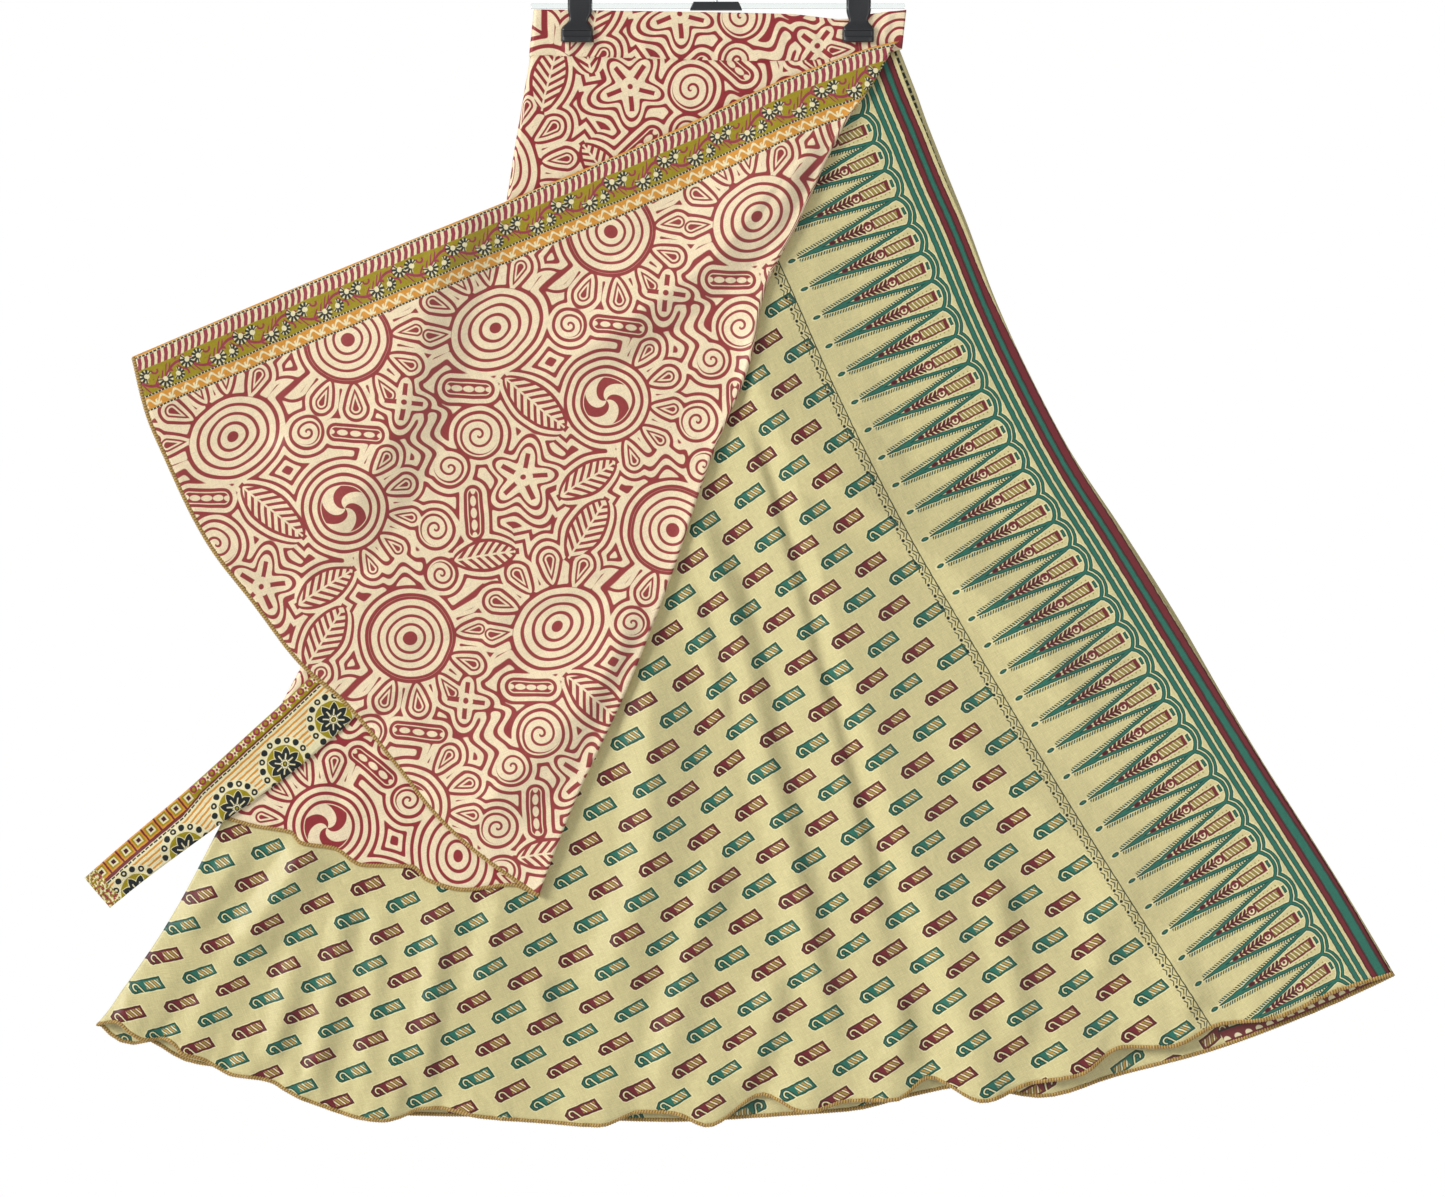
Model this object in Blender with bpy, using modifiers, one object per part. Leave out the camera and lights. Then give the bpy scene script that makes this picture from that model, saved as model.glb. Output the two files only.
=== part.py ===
"""Two-layer wrap skirt held by its waistband on a clip hanger, with its front flap folded back."""

from collections import namedtuple
from math import cos, pi, radians, sin

import bpy
import numpy as np

# Sizes are in millimetres. Across is +X, down is below the hook's seat, and out is towards
# the front, which is -Y. The hook's seat, where it hangs on a rail, is the origin.
mm = 0.001
cloth = 1.0             # wall of one ply of cloth
ply_step = 1.4          # from the middle of one ply to the middle of the next one laid on it
fold_side_step = 1.8    # the same where plies wrap round each other at a slanting side fold
band_wall = 2.4         # waistband: four plies pressed together
hollow_at_waist = 2.2   # between the skirt's front and back, at the top
hollow_at_hem = 3.4     # the same at the hem, before the hem's waves
waist_level = 109.0     # how far down the waistband's lower seam is, on average
hem_level = 975.0       # how far down the long layer's hem is, on average
seam_gap = 0.3

Point = namedtuple("Point", "across down")
Wave = namedtuple("Wave", "across down out")
Fold = namedtuple("Fold", "across down to_across to_down width height")
Tie = namedtuple("Tie", "across down width")

# Outline of the waistband, from the side fold to the open end.
band_top = [
    Point(-146, 69.0), Point(-100, 69.8), Point(0, 71.4), Point(60, 72.8),
    Point(105, 77.0), Point(128, 72.5), Point(156, 69.4),
]
band_seam = [Point(-150, 107.6), Point(-62, 110.2), Point(40, 112.4), Point(153, 107.4)]
band_ends = (-146.0, 156.0)
band_slants = (-4.0, -3.5)  # how much further left each end is at the seam than at the top

# Side fold, where the skirt passes from its front to its back.
side_fold = [
    Point(-150, 107), Point(-162, 176), Point(-174, 245), Point(-213, 364), Point(-271, 487),
    Point(-335, 602), Point(-403, 732), Point(-449, 818), Point(-506, 901),
]
# Open edge of the long layer, along its wide border.
open_edge = [
    Point(145, 107), Point(154, 134), Point(167, 165), Point(185, 207), Point(202, 243),
    Point(229, 308),
    Point(257, 368), Point(292, 434), Point(332, 497), Point(380, 575), Point(447, 684),
    Point(516, 793), Point(555, 860),
]
# How much further the back of the long layer reaches than its front, at that edge.
back_peek = [
    Point(5.7, 107), Point(6.2, 134), Point(4.4, 165), Point(4.0, 207), Point(2.5, 243),
    Point(0.8, 308), Point(0.0, 400), Point(2.5, 500), Point(3.5, 560), Point(1.0, 640),
    Point(0.0, 740), Point(1.5, 860),
]

# Hem of the long layer's front and back, a row for each rise or dip of its waves.
front_hem = [
    Wave(-506, 901, 0), Wave(-494, 898, 2), Wave(-464, 915, 4), Wave(-421, 929, 1),
    Wave(-371, 947, 5), Wave(-321, 970, 2), Wave(-279, 981, 6), Wave(-230, 970, 1),
    Wave(-193, 977, 4), Wave(-144, 981, 1), Wave(-95, 984, 6), Wave(-62, 973, 0),
    Wave(-35, 974, 3), Wave(-7, 984, 6), Wave(38, 959, -1), Wave(73, 973, 7),
    Wave(110, 964, 2), Wave(147, 963, 6), Wave(175, 945, 0), Wave(218, 964, 8),
    Wave(257, 950, 1), Wave(297, 943, 5), Wave(335, 920, 0), Wave(368, 920, 4),
    Wave(415, 901, 1), Wave(452, 897, 4), Wave(509, 874, 1), Wave(555, 860, 0),
]
back_hem = [
    Wave(-506, 901, 0), Wave(-468, 918, 3), Wave(-421, 936, 5), Wave(-340, 957, 1),
    Wave(-250, 976, 5), Wave(-150, 977, 1), Wave(-40, 981, 5), Wave(52, 976, 1),
    Wave(112, 972, 5), Wave(160, 960, 1), Wave(208, 952, 4), Wave(265, 961, 1),
    Wave(328, 944, 5), Wave(402, 924, 1), Wave(480, 896, 4), Wave(556, 861, 0),
]
hem_wave_reach = 190.0  # how far above the hem the waves begin

# Short layer: hem of its front below the side fold, its back's hem, the line where its
# front end is folded back, and the border edge and hem of the flap that this makes. The last
# row of the fold's line carries it on across the long layer, to that layer's hem.
short_hem = [
    Point(-403, 732), Point(-378, 739), Point(-349, 744), Point(-340, 753),
    Point(-314, 757), Point(-289, 771), Point(-250, 772), Point(-237, 783),
    Point(-205, 791), Point(-168, 787), Point(-148, 795),
]
short_back_hem = [
    Point(-403, 732), Point(-276, 773), Point(-148, 794), Point(0, 803),
    Point(110, 795), Point(215, 778), Point(310, 752), Point(400, 722),
    Point(456, 706),
]
flap_fold = [
    Point(140, 111), Point(131, 127), Point(105, 164), Point(68, 242), Point(39, 302),
    Point(28, 356), Point(-4, 435), Point(-39, 537), Point(-73, 623), Point(-118, 720),
    Point(-147, 795), Point(-205, 975),
]
flap_edge = [
    Point(150, 95), Point(126, 101), Point(85, 115.5), Point(52, 128), Point(-33, 168),
    Point(-177, 229), Point(-341, 296), Point(-478, 354),
]
flap_hem = [
    Point(-147, 795), Point(-198, 759), Point(-230, 729), Point(-261, 690), Point(-303, 639),
    Point(-342, 604), Point(-378, 557), Point(-418, 504), Point(-452, 435), Point(-467, 399),
    Point(-478, 354),
]
flap_fold_swell = 2.2   # how much the flap stands off the front where it is folded
flap_fold_inset = 2.5   # from that fold's outermost line to where its bend starts
flap_stand_off = 0.5    # more room under the flap, for the tie
tie_room = 0.2          # more room under the front tie, and under the back one
back_tie_room = 1.1
short_edge_inset = 4.0  # how far the short layer's back edge stops inside the long one's
upper_rows, lower_rows, flap_columns = 12, 7, 21

# Soft ridges of the front, and the flap's own.
front_folds = [
    Fold(28, 380, 188, 869, 15, 3.0), Fold(-10, 520, 80, 900, 22, 2.4),
    Fold(70, 440, 390, 680, 26, 2.6), Fold(175, 545, 330, 640, 18, 1.8),
    Fold(-230, 800, -200, 960, 16, 2.0), Fold(-400, 800, -440, 880, 15, 2.2),
    Fold(-120, 830, -110, 960, 14, 2.0), Fold(255, 860, 240, 950, 14, 2.4),
    Fold(60, 800, 72, 960, 14, 2.6),
]
flap_folds = [
    Fold(-170, 270, -300, 520, 16, 5.0), Fold(-250, 350, -330, 500, 14, 3.0),
    Fold(-120, 355, 10, 300, 20, 4.5), Fold(-440, 400, -350, 440, 12, 3.0),
    Fold(30, 210, -20, 280, 16, 3.5), Fold(-330, 600, -180, 560, 16, 2.4),
    Fold(-100, 560, -190, 740, 22, 2.6),
]
back_folds = [
    Fold(-120, 300, -260, 900, 22, 3.0), Fold(-20, 320, -60, 940, 20, 3.0),
    Fold(90, 330, 150, 940, 22, 3.2), Fold(170, 400, 330, 900, 20, 2.6),
]

# Ties: the front one lies under the flap and its end comes out at the side. The back one
# hangs behind, inside the outline.
front_tie = [
    Tie(114, 116, 14), Tie(88, 148, 28), Tie(36, 215, 44), Tie(-74, 362, 49),
    Tie(-202, 520, 49), Tie(-322, 640, 49), Tie(-353, 668, 48), Tie(-419, 722, 39),
    Tie(-476, 767, 34), Tie(-507, 793, 32),
]
back_tie = [
    Tie(128, 116, 16), Tie(112, 136, 34), Tie(70, 215, 47), Tie(0, 380, 49),
    Tie(-60, 560, 49), Tie(-95, 720, 48), Tie(-120, 880, 40), Tie(-122, 945, 32),
]

# Hanger.
bar_down, bar_high, bar_deep = 66.0, 4.0, 4.0
bar_ends = (-152.0, 155.0)
plate_wide, plate_high, plate_deep = 43.0, 6.4, 9.0
plate_shoulder, jaw_shoulder = 0.86, 0.78   # upper width of the plate and the jaws over lower
hook_wire = 1.7         # radius
hook_round = 20.0       # radius of the hook's bend, to the middle of its wire
clip_places = (-111.5, 117.0)
strap_wide, strap_deep = 20.0, 12.4
strap_top_down = 50.0
jaw_wide, jaw_high, jaw_lip = 26.5, 16.6, 2.2
jaw_bottom_down = 96.4

# Colours as red, green and blue, roughness and metallic value.
finishes = {
    "short layer cloth": ((0.62, 0.42, 0.33), 0.45, 0.0),
    "long layer cloth": ((0.60, 0.53, 0.28), 0.42, 0.0),
    "waistband cloth": ((0.60, 0.40, 0.31), 0.45, 0.0),
    "tie cloth": ((0.62, 0.40, 0.16), 0.5, 0.0),
    "clear bar": ((0.82, 0.86, 0.84), 0.1, 0.0),
    "black plastic": ((0.02, 0.02, 0.022), 0.35, 0.0),
    "steel wire": ((0.55, 0.55, 0.56), 0.25, 1.0),
}


def clear_scene():
    for item in list(bpy.data.objects):
        bpy.data.objects.remove(item, do_unlink=True)


def new_collection(name, hidden=False):
    collection = bpy.data.collections.new(name)
    collection.hide_render = hidden
    bpy.context.scene.collection.children.link(collection)
    return collection


def make_material(name):
    colour, roughness, metallic = finishes[name]
    material = bpy.data.materials.get(name) or bpy.data.materials.new(name)
    material.use_nodes = True
    shader = material.node_tree.nodes["Principled BSDF"]
    shader.inputs["Base Color"].default_value = (*colour, 1)
    shader.inputs["Roughness"].default_value = roughness
    shader.inputs["Metallic"].default_value = metallic
    return material


def add_object(name, data, finish):
    item = bpy.data.objects.new(name, data)
    parts.objects.link(item)
    data.materials.append(make_material(finish))
    return item


def through(rows, at):
    """A smooth line through rows of (place, value) that never swings past them, read at places.

    Each row's slope is the harmonic mean of the slopes on its two sides, and beyond the ends
    the line goes on straight.
    """
    place, value = np.array(rows, float).T
    step = np.diff(place)
    rise = np.diff(value) / step
    slope = np.zeros(len(place))
    same_way = rise[1:] * rise[:-1] > 0
    slope[1:-1][same_way] = 2 * (rise[1:] * rise[:-1])[same_way] / (rise[1:] + rise[:-1])[same_way]
    slope[0], slope[-1] = rise[0], rise[-1]
    at = np.asarray(at, float)
    i = np.clip(np.searchsorted(place, at) - 1, 0, len(step) - 1)
    u = np.clip((at - place[i]) / step[i], 0, 1)
    inside = (value[i] * (1 + 2 * u) * (1 - u) ** 2 + slope[i] * step[i] * u * (1 - u) ** 2
              + value[i + 1] * u ** 2 * (3 - 2 * u) - slope[i + 1] * step[i] * u ** 2 * (1 - u))
    past = np.minimum(at - place[0], 0) * slope[0] + np.maximum(at - place[-1], 0) * slope[-1]
    return inside + past


def along(points, share):
    """Places at these shares of the length of a smooth line through points."""
    xy = np.array([(p.across, p.down) for p in points], float)
    length = np.concatenate([[0], np.cumsum(np.hypot(*np.diff(xy, axis=0).T))])
    length /= length[-1]
    return np.stack([through(np.c_[length, xy[:, k]], share) for k in (0, 1)], axis=-1)


def by_down(points, down):
    return through([(p.down, p.across) for p in points], down)


def by_across(points, across):
    return through([(p.across, p.down) for p in points], across)


def ease(value):
    value = np.clip(value, 0, 1)
    return value * value * (3 - 2 * value)


def share_across(across, down):
    """How far a place is from the side fold, 0, to the open edge, 1."""
    left, right = by_down(side_fold, down), by_down(open_edge, down)
    return (across - left) / (right - left)


def ridges(folds, across, down):
    """Height of soft ridges: a bell across each line, dying away at both of its ends."""
    total = np.zeros(np.shape(across))
    for fold in folds:
        run = np.array([fold.to_across - fold.across, fold.to_down - fold.down], float)
        length = np.hypot(*run)
        dx, dz = across - fold.across, down - fold.down
        travel = (dx * run[0] + dz * run[1]) / length ** 2
        aside = (dx * run[1] - dz * run[0]) / length
        ends = ease(travel / 0.3 + 0.3) * ease((1.15 - travel) / 0.3)
        total += fold.height * np.exp(-(aside / fold.width) ** 2) * ends
    return total


def hollow(down):
    """Half of the space between the skirt's front and back."""
    falls = np.clip((down - waist_level) / (hem_level - waist_level), 0, 1)
    return (hollow_at_waist + (hollow_at_hem - hollow_at_waist) * falls) / 2


def hem_swing(hem, across, down):
    """The hem's waves, as how far out they stand, dying away above the hem."""
    share = share_across(across, down)
    rows = [(share_across(w.across, w.down), w.out) for w in hem]
    low = [(share_across(w.across, w.down), w.down) for w in hem]
    near = ease((down - through(low, share) + hem_wave_reach) / hem_wave_reach)
    return through(rows, share) * near ** 2


def front_out(across, down):
    """How far out the middle of the long layer's front is."""
    return (hollow(down) + cloth / 2 + ridges(front_folds, across, down)
            + hem_swing(front_hem, across, down))


def back_out(across, down):
    return (hollow(down) + cloth / 2 + ridges(back_folds, across, down)
            + hem_swing(back_hem, across, down))


def short_out(across, down):
    return front_out(across, down) + ply_step


def flap_out(across, down):
    swell = flap_fold_swell * np.exp(-np.abs(by_down(flap_fold, down) - across) / 25)
    swell = swell * ease((down - waist_level) / 60)
    return (short_out(across, down) + 2 * ply_step + flap_stand_off + swell
            + ridges(flap_folds, across, down))


def short_back_out(across, down):
    return back_out(across, down) + ply_step


def points_on(across, down, out):
    """Places in metres from across, down and out."""
    across, down, out = np.broadcast_arrays(across, down, out)
    return np.stack([across, -out, -down], axis=-1) * mm


def fan(left, right, knee, hem, out):
    """Grid of one stretch between two lines that run down it: a column at each row of the hem
    and one between each two, and rows from the waist to the knee, which is the short layer's
    hem, and on to the long layer's hem.
    """
    def shares_of(waves):
        return [((w.across - left(w.down)) / (right(w.down) - left(w.down)), w.down) for w in waves]

    hem_rows = shares_of(hem)
    inner = [share for share, _ in hem_rows if 0.02 < share < 0.98]
    shares = between([0, *inner, 1], 2)
    high = by_across(band_seam, left(waist_level) * (1 - shares) + right(waist_level) * shares)
    high = high + seam_gap
    middle, low = through(shares_of(knee), shares), through(hem_rows, shares)
    upper, lower = np.linspace(0, 1, upper_rows)[:, None], np.linspace(0, 1, lower_rows)[1:, None]
    down = np.concatenate([high + (middle - high) * upper, middle + (low - middle) * lower])
    across = left(down) * (1 - shares) + right(down) * shares
    return points_on(across, down, out(across, down))


def moved_out(grid, step):
    """The short layer's stretch of a grid, moved out by a step."""
    return grid[:upper_rows] + np.array([0, -step * mm, 0])


def turn(from_column, to_column, bulge):
    """Half-round fold between two columns of points, which stands out to one side by bulge."""
    middle, half = (from_column + to_column) / 2, (from_column - to_column) / 2
    angles = np.linspace(0, pi, 5)[1:-1]
    sideways = np.stack([bulge, 0 * bulge, 0 * bulge], axis=-1)
    return np.stack([middle + half * cos(a) + sideways * sin(a) for a in angles], axis=1)


def sheet(name, grid, finish, wall=cloth):
    """A grid of points as an open surface, thickened to both sides."""
    rows, columns = grid.shape[:2]
    index = np.arange(rows * columns).reshape(rows, columns)
    faces = np.stack([index[:-1, :-1], index[1:, :-1], index[1:, 1:], index[:-1, 1:]], axis=-1)
    data = bpy.data.meshes.new(name)
    data.from_pydata(grid.reshape(-1, 3).tolist(), [], faces.reshape(-1, 4).tolist())
    data.shade_smooth()
    item = add_object(name, data, finish)
    thick = item.modifiers.new("Cloth wall", "SOLIDIFY")
    thick.thickness = wall * mm
    thick.offset = 0
    thick.use_rim = True
    return item


def between(shares, parts_each):
    """The shares themselves with parts_each equal steps between each two."""
    steps = np.linspace(0, 1, parts_each + 1)[:-1]
    shares = np.asarray(shares)
    fine = shares[:-1, None] + np.diff(shares)[:, None] * steps
    return np.append(fine.reshape(-1), shares[-1])


def side_line(down):
    return by_down(side_fold, down) + hollow(down) + cloth / 2


def fold_line(down):
    return by_down(flap_fold, down) - flap_fold_inset


def open_line(down):
    return by_down(open_edge, down)


def back_open_line(down):
    return open_line(down) + through([(p.down, p.across) for p in back_peek], down)


def long_stretches():
    """Back, left front and right front of the long layer, each from left to right."""
    back = fan(side_line, back_open_line, short_back_hem, back_hem, lambda a, d: -back_out(a, d))
    left = fan(side_line, fold_line, short_hem, front_hem, front_out)
    right = fan(fold_line, open_line, short_back_hem, front_hem, front_out)
    return back, left, right


def build_long_layer():
    """One cloth: its back from the open edge, round the side fold, and its front."""
    back, left, right = long_stretches()
    back = back[:, ::-1]
    side = turn(back[:, -1], left[:, 0], (left[:, 0, 1] - back[:, -1, 1]) / 2)
    return sheet("long_layer", np.concatenate([back, side, left, right[:, 1:]], axis=1),
                 "long layer cloth")


def build_short_layer():
    """One cloth round the long layer: back, side fold, front, and the flap folded back on it."""
    back, front, _ = long_stretches()
    back, front = moved_out(back, -ply_step)[:, ::-1], moved_out(front, ply_step)
    back[:, 0, 0] -= short_edge_inset * mm
    out_by = (back[:, -1, 1] - front[:, 0, 1]) / 2 + (fold_side_step - ply_step) * mm
    side = turn(back[:, -1], front[:, 0], -out_by)

    rows, shares = np.linspace(0, 1, upper_rows), np.linspace(0, 1, flap_columns)
    start = front[:, -1][:, [0, 2]] / mm * (1, -1)
    plan = patch(start, along(flap_edge, rows), along(flap_hem, shares), shares, rows)
    across, down = plan[..., 0], plan[..., 1]
    flap = points_on(across, down, flap_out(across, down))
    fold = turn(front[:, -1], flap[:, 0], (front[:, -1, 1] - flap[:, 0, 1]) / 2)
    return sheet("short_layer", np.concatenate([back, side, front, fold, flap], axis=1),
                 "short layer cloth")


def patch(start, end, hem, shares, rows):
    """Plan of a panel between its start and end columns, whose last row is the hem.

    Straight from one side to the other in each row, plus the hem's difference from that
    straight line, growing towards the hem.
    """
    s, v = shares[None, :, None], rows[:, None, None]
    straight = start[:, None] * (1 - s) + end[:, None] * s
    return straight + (hem - straight[-1])[None] * v ** 1.5


def build_band():
    """Waistband, folded at the side like the layers below it."""
    half = hollow_at_waist / 2 + band_wall / 2
    start, end = band_ends
    front_x = np.linspace(start, end, 26)
    bend = [(start - half * sin(a), half * cos(a)) for a in np.linspace(0, pi, 7)]
    path = ([(x, half) for x in front_x[::-1]] + bend[1:-1] + [(x, -half) for x in front_x])
    x, out = np.array(path).T
    share = np.linspace(0, 1, 5)[:, None]
    top, low = by_across(band_top, x), by_across(band_seam, x)
    down = top + (low - top) * share
    slant = band_slants[0] * ease((start + 60 - x) / 60) + band_slants[1] * ease((x - end + 60) / 60)
    return sheet("waistband", points_on(x + slant * share, down, out), "waistband cloth", band_wall)


def build_tie(name, stations, out_of, side):
    """A flat strip along its route, lying on the cloth below it."""
    share = np.linspace(0, 1, 44)
    middle = along(stations, share)
    length = np.concatenate([[0], np.cumsum(np.hypot(
        *np.diff([(t.across, t.down) for t in stations], axis=0).T))])
    width = through(list(zip(length / length[-1], [t.width for t in stations])), share)
    way = np.gradient(middle, axis=0)
    way /= np.hypot(*way.T)[:, None]
    aside = np.stack([-way[:, 1], way[:, 0]], axis=-1)
    lanes = np.linspace(-0.5, 0.5, 4)
    plan = middle[:, None] + aside[:, None] * (width[:, None] * lanes)[..., None]
    across, down = plan[..., 0], plan[..., 1]
    return sheet(name, points_on(across, down, side * out_of(across, down)), "tie cloth")


def box(name, size, place, finish, round_edge=0.0):
    bpy.ops.mesh.primitive_cube_add(size=1, location=[v * mm for v in place])
    item = bpy.context.object
    item.name = item.data.name = name
    for vertex in item.data.vertices:
        vertex.co = [a * b * mm for a, b in zip(vertex.co, size)]
    for holder in list(item.users_collection):
        holder.objects.unlink(item)
    parts.objects.link(item)
    item.data.materials.append(make_material(finish))
    if round_edge:
        bevel = item.modifiers.new("Round edges", "BEVEL")
        bevel.width = round_edge * mm
        bevel.segments = 2
    return item


def narrow_top(item, share):
    """Makes a box's upper face this share of its width."""
    for vertex in item.data.vertices:
        if vertex.co.z > 0:
            vertex.co.x *= share


def as_guide(item):
    parts.objects.unlink(item)
    cutters.objects.link(item)
    item.hide_render = True
    item.display_type = "WIRE"
    return item


def boolean(item, other, operation):
    change = item.modifiers.new(operation.title(), "BOOLEAN")
    change.operation = operation
    change.object = other


def build_bar():
    wide = bar_ends[1] - bar_ends[0]
    middle = sum(bar_ends) / 2
    return box("hanger_bar", (wide, bar_deep, bar_high), (middle, 0, -bar_down), "clear bar", 0.8)


def build_plate():
    """Plate in the middle of the bar, which passes through it with a little room."""
    plate = box("hanger_plate", (plate_wide, plate_deep, plate_high), (0, 0, -bar_down),
                "black plastic", 0.6)
    narrow_top(plate, plate_shoulder)
    room = 2 * seam_gap
    slot = as_guide(box("bar slot", (2 * plate_wide, bar_deep + room, bar_high + room),
                        (0, 0, -bar_down), "black plastic"))
    boolean(plate, slot, "DIFFERENCE")
    return plate


def build_hook():
    """Wire hook: a short neck, then a round bend over the seat, like a question mark."""
    foot = bar_down - plate_high / 2 - seam_gap
    centre = -hook_wire + hook_round
    turns = [radians(a) for a in range(-40, 211, 10)]
    bend = [(hook_round * cos(a), -centre + hook_round * sin(a)) for a in turns]
    neck = [(0, -foot), (0, -foot + 6), (1.5, -foot + 10.5), (6.5, -foot + 15.5)]
    line = bpy.data.curves.new("hanger_hook", "CURVE")
    line.dimensions = "3D"
    line.bevel_depth = hook_wire * mm
    line.bevel_resolution = 2
    line.use_fill_caps = True
    spline = line.splines.new("POLY")
    spline.points.add(len(neck + bend) - 1)
    for point, (x, z) in zip(spline.points, neck + bend):
        point.co = (x * mm, 0, z * mm, 1)
    return add_object("hanger_hook", line, "steel wire")


def build_clip(name, x):
    """Clip: a strap over the bar with a leaf down each side, and a wider jaw on each leaf."""
    band_half = hollow_at_waist / 2 + band_wall
    inside = band_half + seam_gap
    top, bottom = strap_top_down, jaw_bottom_down
    clip = box(name, (strap_wide, strap_deep, bottom - top), (x, 0, -(top + bottom) / 2),
               "black plastic", 1.0)
    jaw_deep = 2 * (strap_deep / 2 + jaw_lip)
    jaws = as_guide(box(name + " jaws", (jaw_wide, jaw_deep, jaw_high),
                        (x, 0, -(bottom - jaw_high / 2)), "black plastic", 1.2))
    narrow_top(jaws, jaw_shoulder)
    lip = as_guide(box(name + " lip", (jaw_wide - 5, jaw_deep + 1.6, 4.4),
                       (x, 0, -(bottom - 5.0)), "black plastic", 0.7))
    room_top = bar_down - bar_high / 2 - seam_gap
    room = as_guide(box(name + " room", (2 * jaw_wide, 2 * inside, bottom + 10 - room_top),
                        (x, 0, -(bottom + 10 + room_top) / 2), "black plastic"))
    boolean(clip, jaws, "UNION")
    boolean(clip, lip, "UNION")
    boolean(clip, room, "DIFFERENCE")
    return clip


clear_scene()
parts = new_collection("Wrap skirt on a clip hanger")
cutters = new_collection("Cutters", hidden=True)
build_long_layer()
build_short_layer()
build_band()
build_tie("tie_front", front_tie, lambda a, d: short_out(a, d) + ply_step + tie_room, 1)
build_tie("tie_back", back_tie, lambda a, d: short_back_out(a, d) + ply_step + back_tie_room, -1)
build_bar()
build_plate()
build_hook()
for clip_name, clip_x in zip(("clip_left", "clip_right"), clip_places):
    build_clip(clip_name, clip_x)
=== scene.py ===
import bmesh
import bpy
import numpy as np
from math import cos, pi, radians, sin
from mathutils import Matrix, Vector


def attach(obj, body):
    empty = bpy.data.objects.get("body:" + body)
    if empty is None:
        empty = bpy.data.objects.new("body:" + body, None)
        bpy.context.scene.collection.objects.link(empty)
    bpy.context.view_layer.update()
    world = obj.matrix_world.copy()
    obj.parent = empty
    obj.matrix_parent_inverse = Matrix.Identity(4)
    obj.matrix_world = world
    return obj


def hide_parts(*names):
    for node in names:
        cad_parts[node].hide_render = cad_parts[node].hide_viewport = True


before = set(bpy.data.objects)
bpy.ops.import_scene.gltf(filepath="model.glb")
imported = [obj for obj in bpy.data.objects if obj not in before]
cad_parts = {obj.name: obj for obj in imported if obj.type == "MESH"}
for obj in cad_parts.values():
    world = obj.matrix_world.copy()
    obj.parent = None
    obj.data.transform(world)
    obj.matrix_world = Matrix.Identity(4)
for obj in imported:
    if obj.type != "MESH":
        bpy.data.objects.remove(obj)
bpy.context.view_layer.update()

# A two-layer wrap skirt on a clip hanger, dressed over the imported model. The numbers below are
# in millimetres: across is +X, down is below the hook's seat and out is towards the front, -Y.
mm = 0.001


def through(rows, at):
    # Smooth line through (place, value) rows: cubic pieces whose slopes are the harmonic mean of
    # the two neighbours' slopes, so it never swings past a row, and straight past both ends.
    place, value = np.array(rows, float).T
    step = np.diff(place)
    rise = np.diff(value) / step
    slope = np.zeros(len(place))
    sameWay = rise[1:] * rise[:-1] > 0
    slope[1:-1][sameWay] = 2 * (rise[1:] * rise[:-1])[sameWay] / (rise[1:] + rise[:-1])[sameWay]
    slope[0], slope[-1] = rise[0], rise[-1]
    at = np.asarray(at, float)
    i = np.clip(np.searchsorted(place, at) - 1, 0, len(step) - 1)
    u = np.clip((at - place[i]) / step[i], 0, 1)
    inside = (value[i] * (1 + 2 * u) * (1 - u) ** 2 + slope[i] * step[i] * u * (1 - u) ** 2
              + value[i + 1] * u ** 2 * (3 - 2 * u) - slope[i + 1] * step[i] * u ** 2 * (1 - u))
    past = np.minimum(at - place[0], 0) * slope[0] + np.maximum(at - place[-1], 0) * slope[-1]
    return inside + past


def travelled(points):
    # Length along a line of points, from its first one to each of them.
    return np.concatenate([[0], np.cumsum(np.linalg.norm(np.diff(points, axis=0), axis=1))])


def unit(vectors):
    # Each row over its own length.
    return vectors / np.linalg.norm(vectors, axis=1)[:, None]


def along(points, share):
    # Places at shares of the length of the smooth line through points, column by column.
    measures = np.array(points, float).T
    places = travelled(measures[:2].T)
    return np.stack([through(np.c_[places / places[-1], measure], share) for measure in measures],
                    axis=-1)


def byDown(points, down):
    # Across at a level, on the smooth line through (across, down) places.
    return through([(d, a) for a, d in points], down)


def ease(value):
    # From 0 to 1 with level ends: t t (3 - 2 t).
    value = np.clip(value, 0, 1)
    return value * value * (3 - 2 * value)


form = {
    "clothWall": 0.7, "plyStep": 1.4, "foldSideStep": 1.8, "bandWall": 2.4,
    "hollowAtWaist": 2.2, "hollowAtHem": 3.4, "waistLevel": 109.0, "hemLevel": 975.0,
    "seamGap": -1.0, "foldHeight": 1.15, "flapFoldHeight": 1.0, "foldLean": 2.2,
    "flapFoldLean": 1.3, "leanLimit": 0.5, "coveredFolds": 0.2, "coverFades": 40.0,
    "hemWaveReach": 190.0, "frillReach": 42.0, "softFrom": 200.0, "lowest": -0.6,
    "puckerLevel": 111.0, "puckerReach": 16.0, "flapFoldSwell": 2.2, "flapSwellReach": 12.0,
    "swellFrom": 60.0, "flapFoldFades": 24.0, "flapFoldInset": 2.5, "flapStandOff": 0.5,
    "tieRoom": 0.2, "backTieRoom": 1.1, "shortEdgeInset": 4.0, "upperRows": 120, "lowerRows": 40,
}
# Soft waves that lie over the charted folds: size, turn and height of each set.
softWaves = {
    "front": [(95, -0.3, 0.5), (34, -0.25, 0.2)], "back": [(110, 0.2, 0.7)],
    "flap": [(80, 0.9, 0.5), (31, 0.7, 0.2)], "frill": [(21, 0.1, 1.3)],
}
bandTop = [(-146, 69.0), (-100, 69.8), (0, 71.4), (60, 72.8), (105, 77.0), (128, 72.5), (156, 69.4)]
bandSeam = [(-150, 107.6), (-62, 110.2), (40, 112.4), (110, 110.0), (134, 107.6), (153, 102.0)]
bandEnds, bandSlants = (-146.0, 156.0), (-4.0, -3.5)
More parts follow.
